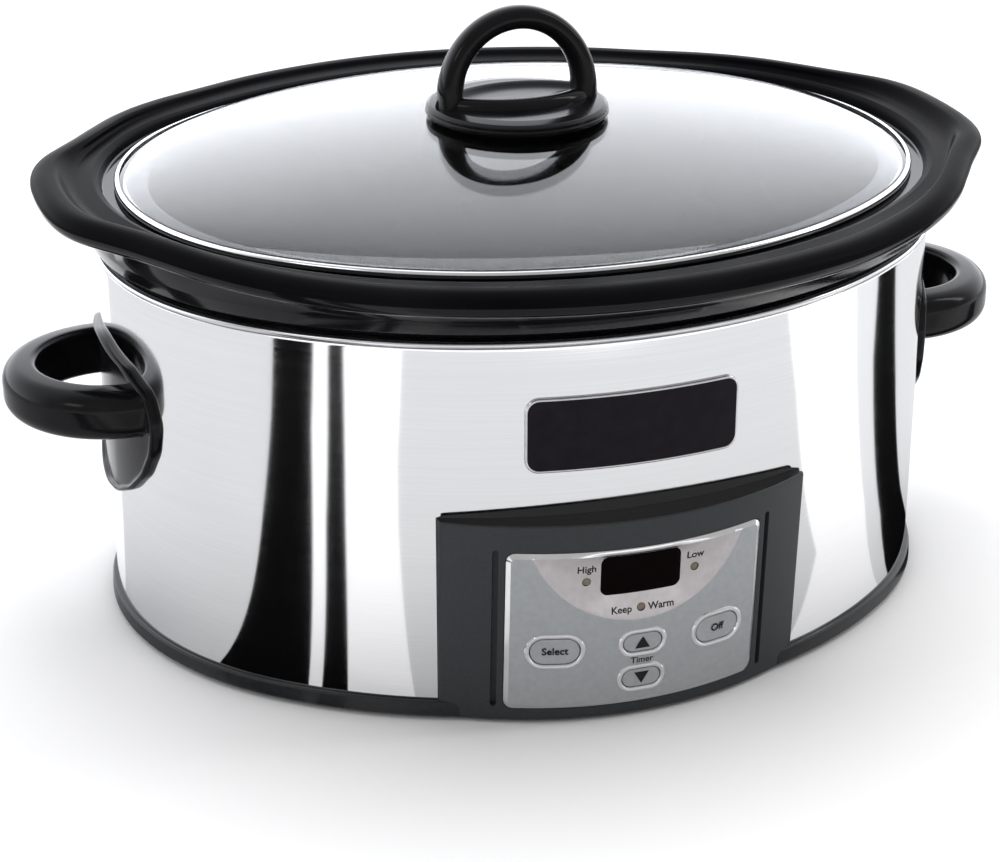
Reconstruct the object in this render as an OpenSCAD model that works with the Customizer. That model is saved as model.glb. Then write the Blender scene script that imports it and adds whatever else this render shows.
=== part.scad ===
// Oval programmable slow cooker with a lift-out stoneware crock, a domed glass lid,
// two loop handles and a control panel with four push buttons.
// Millimetres. X runs along the long axis, the control panel faces -Y, Z is up,
// and the origin is on the floor under the middle of the oval.

/* [Body] */
// Sub-part to draw; "all" draws the whole cooker
// Radius of the two end arcs of the body oval
end_r = 120.5; // [100:0.5:130]
// Distance of each end arc centre from the middle
end_c = 49.4208; // [40:0.0001:60]
// Distance of each side arc centre from the middle
side_c = 56.4144; // [45:0.0001:65]
// Height of the top edge of the steel wrap
wrap_top = 150.4; // [120:0.1:180]
// Height of the bottom edge of the steel wrap
wrap_bottom = 7.9; // [5:0.1:12]
// Thickness of the steel wrap
wrap_t = 0.6; // [0.4:0.1:1.2]

/* [Crock] */
// Height of the top face of the crock rim
crock_top = 178.5; // [160:0.5:200]
// Height of the ledge that carries the lid
ledge_z = 174.2; // [160:0.1:190]
// Radius of the long side arcs of the crock rim
rim_side_r = 199.25; // [190:0.25:215]
// Half of the length of the crock over its ears
rim_half = 193; // [186:0.5:200]
// Radius of the four ear corners of the crock rim
rim_corner_r = 24; // [23:0.5:30]

/* [Lid] */
// Height of the middle of the glass dome
dome_top = 195.5; // [186:0.5:196]
// Radius of the round plate of the knob
knob_r = 36.5; // [30:0.5:42]
// Height of the top of the knob loop
loop_top = 239; // [225:1:250]

/* [Handles] */
// Radius of the outside of the grip loop
grip_r = 43.2; // [38:0.2:50]
// Distance of the grip loop centre from the middle
grip_c = 167.8; // [160:0.2:175]
// Height of the middle of the grip
grip_z = 102; // [80:1:115]

/* [Panel] */
// Half of the width of the control housing
panel_half = 72.3; // [60:0.1:80]
// Height of the top of the control housing
panel_top = 84.2; // [70:0.1:95]
// Radius of the bowed front of the control housing
panel_r = 139; // [120:1:160]
// Distance of the foot of the panel front from the middle
panel_y = 146; // [140:0.5:155]
// Forward lean of the panel front in degrees
panel_lean = 3.13; // [0:0.01:6]

/* [Hidden] */

side_r = end_r + norm([end_c, side_c]);
end_ang = atan2(side_c, end_c);
end_ray = [658.944, 752.192];
eps = 0.02;

// crock rim outline: bowed sides, straight flanks, ear corners and flat ends, all tangent
rim_side_c = rim_side_r - 158;
flank_n = [0.8, 0.6];
flank_d = rim_side_r - flank_n[1] * rim_side_c;
rim_cx = rim_half - rim_corner_r;
rim_cy = (flank_d - rim_corner_r - flank_n[0] * rim_cx) / flank_n[1];
flank_x = flank_n[0] * rim_side_r;
flank_len = (rim_cx + flank_n[0] * rim_corner_r - flank_x) / flank_n[1];
rim_in = 22;
rim_bottom = 169.5;
rim_mid = (crock_top + rim_bottom) / 2;
rim_edge_r = (crock_top - rim_bottom) / 2;

// wells and walls, all as offsets from the body oval
well_floor = 34;
well_out = -15.2;
well_in = -16;
crock_floor = 46;
lip_off = -2.6;
lid_off = -8.25;
glass_t = 3.6;
glass_edge_z = 176.2;
dome_run = 83;
dome_in = -95;
dome_curve_r = (dome_run * dome_run + pow(dome_top - glass_edge_z, 2)) / (2 * (dome_top - glass_edge_z));

// knob heights
stem_z = dome_top + 0.1;
plate_z = 196.8;
plate_top = 201;
eye_top = 204.5;
eye_half = 33;
eye_wide = 15.3;
loop_in_top = 229.8;

// base
plate_lo = 6;
plate_hi = 7.2;
foot_x = 92;
foot_y = 72;
base_screw_ang = 30;
base_screw_r = end_r - 9;

// handles
flange_t = 2.6;
hs_ang = 17.1;
hs_r = 2;

// panel items: arc length across the front and height up the front
plate_half = 50.3;
plate_lo_w = 6.5;
plate_hi_w = 73;
plate_in = 0.8;
plate_out = 0.9;
ring_out = 1.5;
side_btn = [32.5, 31.8];
mid_up = [1, 32.7];
mid_down = [1, 17.3];
big_btn = [22.6, 14.6];
small_btn = [18.8, 12.2];
ring_w = 1.3;
btn_gap = 0.35;
disp_w = 61.6;
disp_size = [31.4, 15.4];
led_spots = [[-21.4, 60.4], [21.6, 60.4], [0, 47.6]];
board_y = 12.2;
board_t = 1.6;

// ---- shared shapes ----

// flat wedge from the origin about +X, bounded by two rays
module wedge(x, y0, y1) {
  translate([0, 0, -20])
    linear_extrude(300)
      polygon([[0, 0], [x, y0], [x, y1]]);
}

// carries a flat profile [offset, height] once around the body oval
module around_oval() {
  for (s = [0, 180])
    rotate(s)
      translate([end_c, 0, 0])
        intersection() {
          rotate_extrude($fn = 96)
            translate([end_r, 0])
              children();
          wedge(end_ray[0], -end_ray[1], end_ray[1]);
        }
  for (s = [90, 270])
    rotate(s)
      translate([-side_c, 0, 0])
        intersection() {
          rotate_extrude($fn = 96)
            translate([side_r, 0])
              children();
          wedge(end_ray[1], -end_ray[0], end_ray[0]);
        }
}

// flat oval, offset from the body oval
module oval(off = 0) {
  for (s = [-1, 1])
    translate([s * end_c, 0])
      circle(r = end_r + off, $fn = 96);
  intersection() {
    translate([0, -side_c])
      circle(r = side_r + off, $fn = 96);
    translate([0, side_c])
      circle(r = side_r + off, $fn = 96);
    square([2 * (end_c + (end_r + off) * cos(end_ang)), 400], center = true);
  }
}

module oval_plate(off, z0, z1) {
  translate([0, 0, z0])
    linear_extrude(z1 - z0)
      oval(off);
}

// flat outline of the crock rim, drawn inwards by a distance
module rim_plan(inset) {
  x0 = rim_half - inset;
  y0 = (flank_d - inset - flank_n[0] * x0) / flank_n[1];
  x1 = flank_n[0] * (rim_side_r - inset);
  y1 = flank_n[1] * (rim_side_r - inset) - rim_side_c;
  polygon([[x0, -y0], [x0, y0], [x1, y1], [-x1, y1],
           [-x0, y0], [-x0, -y0], [-x1, -y1], [x1, -y1]]);
  intersection() {
    translate([0, -rim_side_c])
      circle(r = rim_side_r - inset, $fn = 96);
    translate([0, rim_side_c])
      circle(r = rim_side_r - inset, $fn = 96);
    square([2 * x1, 400], center = true);
  }
}

// carries a flat profile [offset, height] around the outline of the crock rim
module around_rim() {
  for (s = [90, 270])
    rotate(s)
      translate([-rim_side_c, 0, 0])
        intersection() {
          rotate_extrude($fn = 96)
            translate([rim_side_r, 0])
              children();
          wedge(600, -800, 800);
        }
  for (s = [0, 180])
    rotate(s) {
      translate([rim_half, rim_cy, 0])
        rotate([90, 0, 0])
          linear_extrude(2 * rim_cy)
            children();
      for (m = [0, 1])
        mirror([0, m, 0])
          translate([rim_cx, rim_cy, 0]) {
            intersection() {
              rotate_extrude($fn = 96)
                translate([rim_corner_r, 0])
                  children();
              wedge(800, 0, 600);
            }
            rotate(atan2(flank_n[1], flank_n[0]))
              translate([rim_corner_r, flank_len, 0])
                rotate([90, 0, 0])
                  linear_extrude(flank_len)
                    children();
          }
    }
}

module rounded_box_plan(w, h, r) {
  for (x = [-1, 1], y = [-1, 1])
    translate([x * (w / 2 - r), y * (h / 2 - r)])
      circle(r = r, $fn = 48);
  square([w - 2 * r, h], center = true);
  square([w, h - 2 * r], center = true);
}

module stadium(size, grow = 0) {
  r = size[1] / 2 + grow;
  for (x = [-1, 1])
    translate([x * (size[0] - size[1]) / 2, 0])
      circle(r = r, $fn = 48);
  square([size[0] - size[1], 2 * r], center = true);
}

// frame of the leaning panel: x across, y into the cooker, z up the front
module panel_frame() {
  translate([0, -panel_y, 0])
    rotate([panel_lean, 0, 0])
      children();
}

// spot on the bowed panel: x across, y up, z out of the panel
module on_panel(spot) {
  panel_frame()
    translate([0, panel_r, spot[1]])
      rotate(spot[0] / panel_r * 180 / PI)
        translate([0, -panel_r, 0])
          rotate([90, 0, 0])
            children();
}

// upright bowed slab of the panel between two depths below its face
module bowed(in0, in1, half, z0, z1) {
  panel_frame()
    intersection() {
      difference() {
        translate([0, panel_r, z0])
          cylinder(r = panel_r - in0, h = z1 - z0, $fn = 96);
        translate([0, panel_r, z0 - 1])
          cylinder(r = panel_r - in1, h = z1 - z0 + 2, $fn = 96);
      }
      translate([-half, -20, z0 - 1])
        cube([2 * half, 90, z1 - z0 + 2]);
    }
}

// spot on the end wall of the body: z runs out of the wall
module on_end(side, ang, z, off = 0) {
  translate([side * end_c, 0, z])
    rotate(side > 0 ? ang : 180 - ang)
      translate([end_r + off, 0, 0])
        rotate([0, 90, 0])
          children();
}

// ---- body ----

module outer_wrap() {
  color("Silver")
    difference() {
      around_oval()
        translate([-wrap_t, wrap_bottom])
          square([wrap_t, wrap_top - wrap_bottom]);
      translate([-50, -150, 0])
        cube([100, 40, 76]);
      for (s = [-1, 1], a = [-1, 1])
        on_end(s, a * hs_ang, grip_z, -3)
          cylinder(r = hs_r + 0.3, h = 6, $fn = 32);
      for (x = [-61, 61])
        translate([x, -100, 45])
          rotate([90, 0, 0])
            cylinder(r = 2.2, h = 50, $fn = 32);
      translate([0, 130, 22])
        rotate([-90, 0, 0])
          cylinder(r = 7.1, h = 20, $fn = 48);
    }
}

module heating_well() {
  color("Gainsboro")
    union() {
      around_oval() {
        polygon([[well_out, 151.4], [well_out, 46], [-19, 38], [-27, well_floor],
                 [-30, well_floor], [-30, well_floor + 0.8], [-27.3, well_floor + 0.8],
                 [-19.8, 38.7], [well_in, 46.3], [well_in, 152.2], [-1, 152.2], [-1, 151.4]]);
        translate([-0.4, 151.8])
          circle(r = 1.2, $fn = 32);
      }
      difference() {
        oval_plate(-29.8, well_floor, well_floor + 0.8);
        translate([0, 0, well_floor - 1])
          cylinder(r = 3.4, h = 4, $fn = 32);
      }
    }
}

module heater_band() {
  color("DimGray")
    around_oval()
      translate([-15, 50])
        square([2.6, 42]);
}

module thermal_fuse() {
  color("White")
    on_end(1, 0, 70, -12)
      difference() {
        cylinder(r = 4, h = 5, $fn = 32);
        translate([0, 0, -1])
          cylinder(r = 1, h = 7, $fn = 24);
      }
}

module temperature_sensor() {
  color("Silver") {
    translate([40, 0, well_floor - 5.2])
      cylinder(r = 8, h = 5, $fn = 48);
    translate([40, 0, well_floor - 12])
      cylinder(r = 3, h = 7, $fn = 32);
  }
}

module base_ring() {
  color("DarkSlateGray")
    difference() {
      union() {
        around_oval()
          polygon([[-2.9, 1.5], [1.6, 1.5], [2.2, 2.2], [1.9, 7.2], [1.2, 7.8], [-0.9, 7.8],
                   [-0.9, 15], [-2.9, 15], [-2.9, 9.5], [-16, 9.5], [-16, 7.3], [-2.9, 7.3]]);
        for (s = [-1, 1], a = [-1, 1])
          on_end(s, a * base_screw_ang, 12.5, -9)
            rotate([0, -90, 0])
              translate([0, 0, -4])
                cylinder(r = 4.2, h = 8, $fn = 32);
      }
      difference() {
        translate([-panel_half - 0.3, -160, 0])
          cube([2 * panel_half + 0.6, 50, 30]);
        oval_plate(-3.3, -1, 31);
      }
      for (s = [-1, 1], a = [-1, 1])
        on_end(s, a * base_screw_ang, 7, -9)
          rotate([0, -90, 0])
            cylinder(r = 1.65, h = 8, $fn = 32);
      translate([0, 130, 22])
        rotate([-90, 0, 0])
          cylinder(r = 9.5, h = 20, $fn = 48);
    }
}

module bottom_plate() {
  color("LightSlateGray")
    difference() {
      oval_plate(-3.2, plate_lo, plate_hi);
      translate([-panel_half - 0.3, -160, 0])
        cube([2 * panel_half + 0.6, 30, 30]);
      for (x = [-1, 1], y = [-1, 1])
        translate([x * foot_x, y * foot_y, 0])
          cylinder(r = 4.1, h = 20, $fn = 32);
      for (s = [-1, 1], a = [-1, 1])
        on_end(s, a * base_screw_ang, 0, -9)
          rotate([0, -90, 0])
            cylinder(r = 1.8, h = 20, $fn = 32);
      cylinder(r = 3.2, h = 20, $fn = 32);
      for (i = [0 : 8])
        translate([-60 + 15 * i, 40, 0])
          cylinder(r = 2, h = 20, $fn = 24);
    }
}

module rubber_feet() {
  color("DimGray")
    for (x = [-1, 1], y = [-1, 1])
      translate([x * foot_x, y * foot_y, 0]) {
        cylinder(r1 = 8.4, r2 = 9, h = plate_lo, $fn = 48);
        cylinder(r = 4, h = plate_hi, $fn = 32);
        translate([0, 0, plate_hi])
          cylinder(r1 = 5, r2 = 4, h = 1.8, $fn = 32);
      }
}

module base_screws() {
  color("Silver")
    for (s = [-1, 1], a = [-1, 1])
      on_end(s, a * base_screw_ang, 0, -9)
        rotate([0, -90, 0]) {
          difference() {
            translate([0, 0, 3.8])
              cylinder(r = 3, h = 2.2, $fn = 32);
            translate([0, 0, 3.8])
              cube([4, 0.8, 1.6], center = true);
            translate([0, 0, 3.8])
              cube([0.8, 4, 1.6], center = true);
          }
          translate([0, 0, 5.9])
            cylinder(r = 1.6, h = 8.5, $fn = 32);
        }
}

module well_post() {
  color("Silver")
    difference() {
      translate([0, 0, plate_hi])
        cylinder(r = 8, h = well_floor - plate_hi, $fn = 48);
      cylinder(r = 3.2, h = 60, $fn = 32);
    }
}

module well_bolt() {
  color("Silver") {
    translate([0, 0, 2.6])
      cylinder(r = 5.5, h = plate_lo - 2.6, $fn = 6);
    translate([0, 0, 3])
      cylinder(r = 3, h = 32.9, $fn = 32);
  }
}

module well_nut() {
  color("Silver")
    difference() {
      translate([0, 0, well_floor + 0.8])
        cylinder(r = 6, h = 1.1, $fn = 6);
      cylinder(r = 3.05, h = 60, $fn = 32);
    }
}

module cord_bushing() {
  color("DimGray")
    difference() {
      union() {
        translate([0, 134.5, 22])
          rotate([-90, 0, 0])
            cylinder(r = 7, h = 9, $fn = 48);
        translate([0, 139.15, 22])
          rotate([-90, 0, 0])
            cylinder(r1 = 9, r2 = 8, h = 4.75, $fn = 48);
        translate([0, 134.4, 22])
          rotate([-90, 0, 0])
            cylinder(r1 = 8, r2 = 9, h = 3.3, $fn = 48);
      }
      translate([0, 130, 22])
        rotate([-90, 0, 0])
          cylinder(r = 3.6, h = 20, $fn = 48);
    }
}

// ---- handles ----

// shield outline of the handle flange, x across the end wall and y up
module flange_plan() {
  intersection() {
    translate([0, 33])
      circle(r = 92, $fn = 96);
    translate([0, 108.2])
      circle(r = 50.4, $fn = 96);
    translate([-60, 40])
      square([120, 79]);
  }
  intersection() {
    translate([0, 108.2])
      circle(r = 50.4, $fn = 96);
    translate([0, 28])
      circle(r = 94, $fn = 96);
  }
}

module handle(side) {
  color("DimGray")
    difference() {
      union() {
        intersection() {
          around_oval()
            translate([0.05, 50])
              square([flange_t, 80]);
          translate([side * 110, 0, 0])
            rotate([90, 0, side * 90])
              linear_extrude(100)
                flange_plan();
        }
        intersection() {
          grip_bar(side);
          difference() {
            translate([side * 200, 0, grip_z])
              cube([160, 120, 40], center = true);
            oval_plate(0.05, 60, 140);
          }
        }
      }
      for (a = [-1, 1])
        on_end(side, a * hs_ang, grip_z, -1)
          cylinder(r = hs_r + 0.05, h = 13, $fn = 32);
    }
}

// U-shaped grip: a half ring on two straight legs that run into the wall
module grip_bar(side) {
  translate([side * grip_c, 0, grip_z])
    rotate(side > 0 ? 0 : 180) {
      intersection() {
        rotate_extrude($fn = 96)
          grip_section();
        translate([0, -60, -20])
          cube([60, 120, 40]);
      }
      for (m = [0, 1])
        mirror([0, m, 0])
          rotate([90, 0, -90])
            linear_extrude(30)
              grip_section();
    }
}

// section of the grip, rounded on the outside
module grip_section() {
  difference() {
    translate([grip_r - 14, -10.5])
      square([14, 21]);
    for (m = [-1, 1])
      translate([grip_r - 8, m * 4])
        difference() {
          translate([0, m > 0 ? 0 : -10])
            square([10, 10]);
          circle(r = 8, $fn = 48);
        }
  }
}

module handle_left() {
  handle(-1);
}

module handle_right() {
  handle(1);
}

module handle_screws() {
  color("Silver")
    for (s = [-1, 1], a = [-1, 1])
      on_end(s, a * hs_ang, grip_z, 0) {
        translate([0, 0, -wrap_t - 2.6])
          cylinder(r = 4, h = 2.4, $fn = 32);
        translate([0, 0, -wrap_t - 0.4])
          cylinder(r = hs_r, h = 12, $fn = 32);
      }
}

module badge() {
  color("Black")
    intersection() {
      around_oval()
        translate([0.05, 95])
          square([1.2, 45]);
      translate([0, -100, 116.3])
        rotate([90, 0, 0])
          linear_extrude(60)
            rounded_box_plan(83.4, 29.4, 5.5);
    }
}

// ---- control panel ----

module control_housing() {
  color("DarkSlateGray")
    difference() {
      intersection() {
        panel_frame()
          translate([0, panel_r, -10])
            cylinder(r = panel_r, h = 110, $fn = 96);
        translate([-panel_half, -170, 1.5])
          cube([2 * panel_half, 60, panel_top - 1.5]);
      }
      oval_plate(0.1, 7.7, 100);
      oval_plate(-3.2, -1, 8);
      intersection() {
        panel_frame()
          translate([0, panel_r, -10])
            cylinder(r = panel_r - 2.6, h = 110, $fn = 96);
        translate([-panel_half + 2.6, -170, 4.2])
          cube([2 * panel_half - 5.2, 60, panel_top - 6.8]);
      }
      intersection() {
        bowed(-1, plate_in, 70, 0, 90);
        panel_frame()
          translate([0, 30, (plate_lo_w + plate_hi_w) / 2])
            rotate([90, 0, 0])
              linear_extrude(60)
                rounded_box_plan(2 * plate_half + 0.3, plate_hi_w - plate_lo_w + 0.3, 3.7);
      }
      for (s = [-1, 1])
        on_panel([s * 55.2, 40.5])
          translate([0, 0, -1.6])
            linear_extrude(4)
              stadium_slot();
      for (s = [-1, 1])
        on_panel([s * side_btn[0], side_btn[1]])
          translate([0, 0, -6])
            linear_extrude(8)
              stadium(big_btn, 0);
      for (p = [mid_up, mid_down])
        on_panel(p)
          translate([0, 0, -6])
            linear_extrude(8)
              stadium(small_btn, 0);
      on_panel([0, disp_w])
        translate([-disp_size[0] / 2 - 1, -disp_size[1] / 2 - 1, -6])
          cube([disp_size[0] + 2, disp_size[1] + 2, 8]);
      for (p = led_spots)
        on_panel(p)
          translate([0, 0, -6])
            cylinder(r = 1.75, h = 8, $fn = 32);
    }
}

module stadium_slot() {
  for (m = [-1, 1])
    translate([0, m * 32.4])
      circle(r = 1.15, $fn = 32);
  square([2.3, 64.8], center = true);
}

module housing_screws() {
  color("Silver")
    for (x = [-61, 61])
      translate([x, -120, 45])
        rotate([90, 0, 0]) {
          cylinder(r = 3.4, h = 2.2, $fn = 32);
          cylinder(r = 1.6, h = 8, $fn = 32);
        }
}

module faceplate() {
  color("Silver")
    difference() {
      union() {
        intersection() {
          bowed(-plate_out, plate_in, 70, 0, 90);
          panel_frame()
            translate([0, 30, (plate_lo_w + plate_hi_w) / 2])
              rotate([90, 0, 0])
                linear_extrude(60)
                  rounded_box_plan(2 * plate_half, plate_hi_w - plate_lo_w, 3.5);
        }
        for (s = [-1, 1])
          on_panel([s * side_btn[0], side_btn[1]])
            translate([0, 0, 0.2])
              linear_extrude(ring_out - 0.2)
                stadium(big_btn, 0);
        for (p = [mid_up, mid_down])
          on_panel(p)
            translate([0, 0, 0.2])
              linear_extrude(ring_out - 0.2)
                stadium(small_btn, 0);
      }
      for (s = [-1, 1])
        on_panel([s * side_btn[0], side_btn[1]])
          translate([0, 0, -4])
            linear_extrude(8)
              stadium(big_btn, -ring_w);
      for (p = [mid_up, mid_down])
        on_panel(p)
          translate([0, 0, -4])
            linear_extrude(8)
              stadium(small_btn, -ring_w);
      on_panel([0, disp_w])
        translate([0, 0, -4])
          linear_extrude(8)
            rounded_box_plan(disp_size[0] + 0.1, disp_size[1] + 0.1, 3.05);
      for (p = led_spots)
        on_panel(p)
          translate([0, 0, -4])
            cylinder(r = 1.7, h = 8, $fn = 32);
    }
}

module button(spot, size, depth) {
  on_panel(spot) {
    translate([0, 0, -2.4])
      linear_extrude(3.6)
        stadium(size, -ring_w - btn_gap);
    translate([0, 0, -depth])
      cylinder(r = 2.2, h = depth - 1, $fn = 32);
  }
}

module button_select() {
  color("Silver")
    button([-side_btn[0], side_btn[1]], big_btn, 3.6);
}

module button_off() {
  color("Silver")
    button(side_btn, big_btn, 3.6);
}

module button_up() {
  color("Silver")
    button(mid_up, small_btn, 7.2);
}

module button_down() {
  color("Silver")
    button(mid_down, small_btn, 7.2);
}

module display_window() {
  color("Black")
    on_panel([0, disp_w])
      translate([0, 0, -1])
        linear_extrude(1.9)
          rounded_box_plan(disp_size[0], disp_size[1], 3);
}

module display_module() {
  color("DimGray")
    panel_frame()
      translate([-14, 2.4, disp_w - 6.5])
        cube([28, board_y - 2.45, 13]);
}

module indicator_lights() {
  color("Olive")
    for (p = led_spots)
      on_panel(p) {
        translate([0, 0, -2.6])
          cylinder(r = 1.6, h = 3.3, $fn = 32);
        translate([0, 0, -8 + abs(p[0]) * 0.16])
          cylinder(r = 1.2, h = 6, $fn = 24);
      }
}

module control_board() {
  color("DarkGreen")
    panel_frame()
      translate([-46, board_y, 12])
        cube([92, board_t, 60]);
}

// seat of a switch on the board, straight behind its button
module on_board(spot) {
  ang = spot[0] / panel_r * 180 / PI;
  depth = (board_y - panel_r * (1 - cos(ang))) / cos(ang);
  panel_frame()
    translate([(panel_r - depth) * sin(ang), board_y - eps, spot[1]])
      rotate([90, 0, 0])
        children();
}

module tact_switches() {
  color("Black")
    for (p = [[-side_btn[0], side_btn[1]], side_btn, mid_up, mid_down])
      on_board(p) {
        translate([-3, -3, 0.03])
          cube([6, 6, 2.6]);
        cylinder(r = 1.7, h = 3.4, $fn = 32);
      }
}

// ---- power side ----

module power_board() {
  color("DarkGreen")
    translate([-35, -92, 12])
      cube([70, 46, 1.6]);
}

module power_parts() {
  color("SteelBlue") {
    translate([-30, -88, 13.65])
      cube([19, 15, 14]);
    translate([-4, -86, 13.65])
      cube([24, 20, 13]);
    translate([28, -60, 13.65])
      cylinder(r = 5, h = 12, $fn = 32);
    for (x = [-31, 31], y = [-89, -49])
      translate([x, y, plate_hi + 0.02])
        cylinder(r = 2, h = 4.76, $fn = 24);
  }
}

// straight run of round wire between two points
module run(a, b, r) {
  v = b - a;
  translate(a)
    rotate([0, acos(v[2] / norm(v)), atan2(v[1], v[0])])
      cylinder(r = r, h = norm(v), $fn = 24);
}

module wire(path, r = 1.1) {
  for (i = [0 : len(path) - 2])
    run(path[i], path[i + 1], r);
  for (i = [1 : len(path) - 2])
    translate(path[i])
      sphere(r = r * 1.12, $fn = 24);
}

module wiring() {
  color("Crimson") {
    wire([[-1.6, 126, 22], [-1.6, 100, 22], [-20, -52, 22], [-20, -52, 13.7]]);
    wire([[1.6, 126, 22], [1.6, 100, 20], [24, -52, 20], [24, -52, 13.7]]);
    wire([[-24, -80, 27.8], [-24, -80, 30.4], [-54, -120, 30.4], [-54, -120, 60]]);
    wire([[31, -52, 13.7], [31, -52, 24], [157, -24, 24], [157, -24, 60]]);
    wire([[40, 0, 21.9], [40, 0, 17], [30, -54, 17], [30, -54, 13.7]]);
    translate([-8, -129.8, 13.65])
      cube([16, 40, 0.8]);
  }
}

// ---- crock ----

module crock() {
  color("Black")
    union() {
      around_rim()
        rim_edge();
      difference() {
        translate([0, 0, rim_bottom])
          linear_extrude(crock_top - rim_bottom)
            rim_plan(rim_in - 0.4);
        oval_plate(lip_off, rim_bottom - 1, crock_top + 1);
      }
      around_oval()
        polygon([[-3, 157], [2.5, 157], [6.8, rim_bottom + 0.2], [8, rim_bottom + 3],
                 [-1, ledge_z + 3.3], [lip_off, ledge_z + 2], [lip_off - 0.6, ledge_z],
                 [-22, ledge_z], [-24.6, ledge_z - 1.2], [-25.6, ledge_z - 4],
                 [-26.5, 120], [-28.5, 80], [-31.5, 60], [-35, 52], [-40.5, 47.5],
                 [-48, crock_floor], [-60, crock_floor], [-60, 36.2], [-38, 36.2], [-30, 38],
                 [-24, 42], [-20.5, 48], [-18.6, 58], [-18, 90], [-17.6, 150], [-16.8, 153.2],
                 [-6, 153.2], [-3, 154]]);
      oval_plate(-59, 36.2, crock_floor);
    }
}

// rounded outer edge of the crock rim
module rim_edge() {
  translate([-rim_edge_r, rim_mid])
    circle(r = rim_edge_r, $fn = 48);
  translate([-rim_in, rim_bottom])
    square([rim_in - rim_edge_r, crock_top - rim_bottom]);
}

// ---- lid ----

function dome_drop(x) = dome_curve_r - sqrt(dome_curve_r * dome_curve_r - x * x);

module lid_glass() {
  steps = 9;
  color("LightSteelBlue")
    difference() {
      union() {
        around_oval()
          polygon(concat(
            [for (i = [0 : steps]) [dome_in + dome_run * i / steps,
                                    dome_top - dome_drop(dome_run * i / steps)]],
            [[lid_off - 1.2, glass_edge_z - 0.6], [lid_off - 1.2, glass_edge_z - 1.9]],
            [for (i = [steps : -1 : 0]) [dome_in + (dome_run - 1.4) * i / steps,
                             dome_top - glass_t - dome_drop(dome_run * i / steps) * 0.86]]));
        oval_plate(dome_in + 0.5, dome_top - glass_t, dome_top);
      }
      translate([0, 0, 150])
        cylinder(r = 4.2, h = 60, $fn = 32);
    }
}

module lid_rim() {
  color("Silver")
    around_oval()
      difference() {
        union() {
          translate([lid_off - 5.8, ledge_z + 0.1])
            square([4.2, 3.7]);
          translate([lid_off - 1.85, ledge_z + 1.95])
            circle(r = 1.85, $fn = 32);
        }
        translate([lid_off - 8, glass_edge_z - 4.1])
          square([6.9, 5.2]);
      }
}

module lid_knob() {
  color("Black")
    difference() {
      union() {
        rotate_extrude($fn = 96)
          polygon([[0, stem_z], [27.4, stem_z], [28, stem_z + 0.6], [28.6, plate_z - 0.1],
                   [knob_r - 0.8, plate_z + 0.2], [knob_r, plate_z + 1], [knob_r, plate_top - 1],
                   [knob_r - 0.8, plate_top - 0.2], [knob_r - 4, plate_top], [0, plate_top]]);
        translate([0, 0, plate_top - 0.2])
          linear_extrude(eye_top - plate_top + 0.2)
            eye_plan();
        difference() {
          intersection() {
            rotate([90, 0, 0])
              linear_extrude(12, center = true)
                loop_plan();
            translate([-50, 0, plate_top])
              rotate([0, 90, 0])
                linear_extrude(100)
                  translate([-50, 0])
                    square([100, 12], center = true);
          }
        }
      }
      translate([0, 0, stem_z - 1])
        cylinder(r = 2.05, h = 9, $fn = 32);
    }
}

// eye-shaped foot between the legs of the loop
module eye_plan() {
  r = (eye_half * eye_half + eye_wide * eye_wide) / (2 * eye_wide);
  intersection() {
    translate([0, r - eye_wide])
      circle(r = r, $fn = 96);
    translate([0, eye_wide - r])
      circle(r = r, $fn = 96);
  }
}

// side view of the loop, x along the long axis and y up
module loop_plan() {
  h_out = loop_top - plate_top;
  r_out = 35.5;
  h_in = loop_in_top - eye_top;
  r_in = (22.6 * 22.6 + h_in * h_in) / (2 * h_in);
  difference() {
    intersection() {
      translate([0, loop_top - r_out])
        circle(r = r_out, $fn = 96);
      translate([-32.8, plate_top - 0.5])
        square([65.6, h_out + 1]);
    }
    intersection() {
      translate([0, loop_in_top - r_in])
        circle(r = r_in, $fn = 96);
      translate([-30, eye_top - 0.1])
        square([60, 60]);
    }
  }
}

module knob_washer() {
  color("DimGray")
    difference() {
      translate([0, 0, dome_top - glass_t - 1.3])
        cylinder(r = 9, h = 1.2, $fn = 48);
      translate([0, 0, 150])
        cylinder(r = 2.3, h = 60, $fn = 32);
    }
}

module knob_screw() {
  color("Silver")
    difference() {
      union() {
        translate([0, 0, dome_top - glass_t - 3.6])
          cylinder(r = 4.4, h = 2.2, $fn = 48);
        translate([0, 0, dome_top - glass_t - 1.5])
          cylinder(r = 2, h = 12, $fn = 32);
      }
      translate([0, 0, dome_top - glass_t - 3.6])
        cube([5, 1, 1.6], center = true);
      translate([0, 0, dome_top - glass_t - 3.6])
        cube([1, 5, 1.6], center = true);
    }
}

outer_wrap();
heating_well();
heater_band();
thermal_fuse();
temperature_sensor();
base_ring();
bottom_plate();
rubber_feet();
base_screws();
well_post();
well_bolt();
well_nut();
handle_left();
handle_right();
handle_screws();
badge();
cord_bushing();
control_housing();
housing_screws();
faceplate();
display_window();
display_module();
indicator_lights();
control_board();
tact_switches();
power_board();
power_parts();
wiring();
button_select();
button_off();
button_up();
button_down();
crock();
lid_glass();
lid_rim();
lid_knob();
knob_washer();
knob_screw();
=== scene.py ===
import bpy, bmesh, math
import numpy as np
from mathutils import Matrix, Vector
from mathutils.geometry import delaunay_2d_cdt


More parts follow.
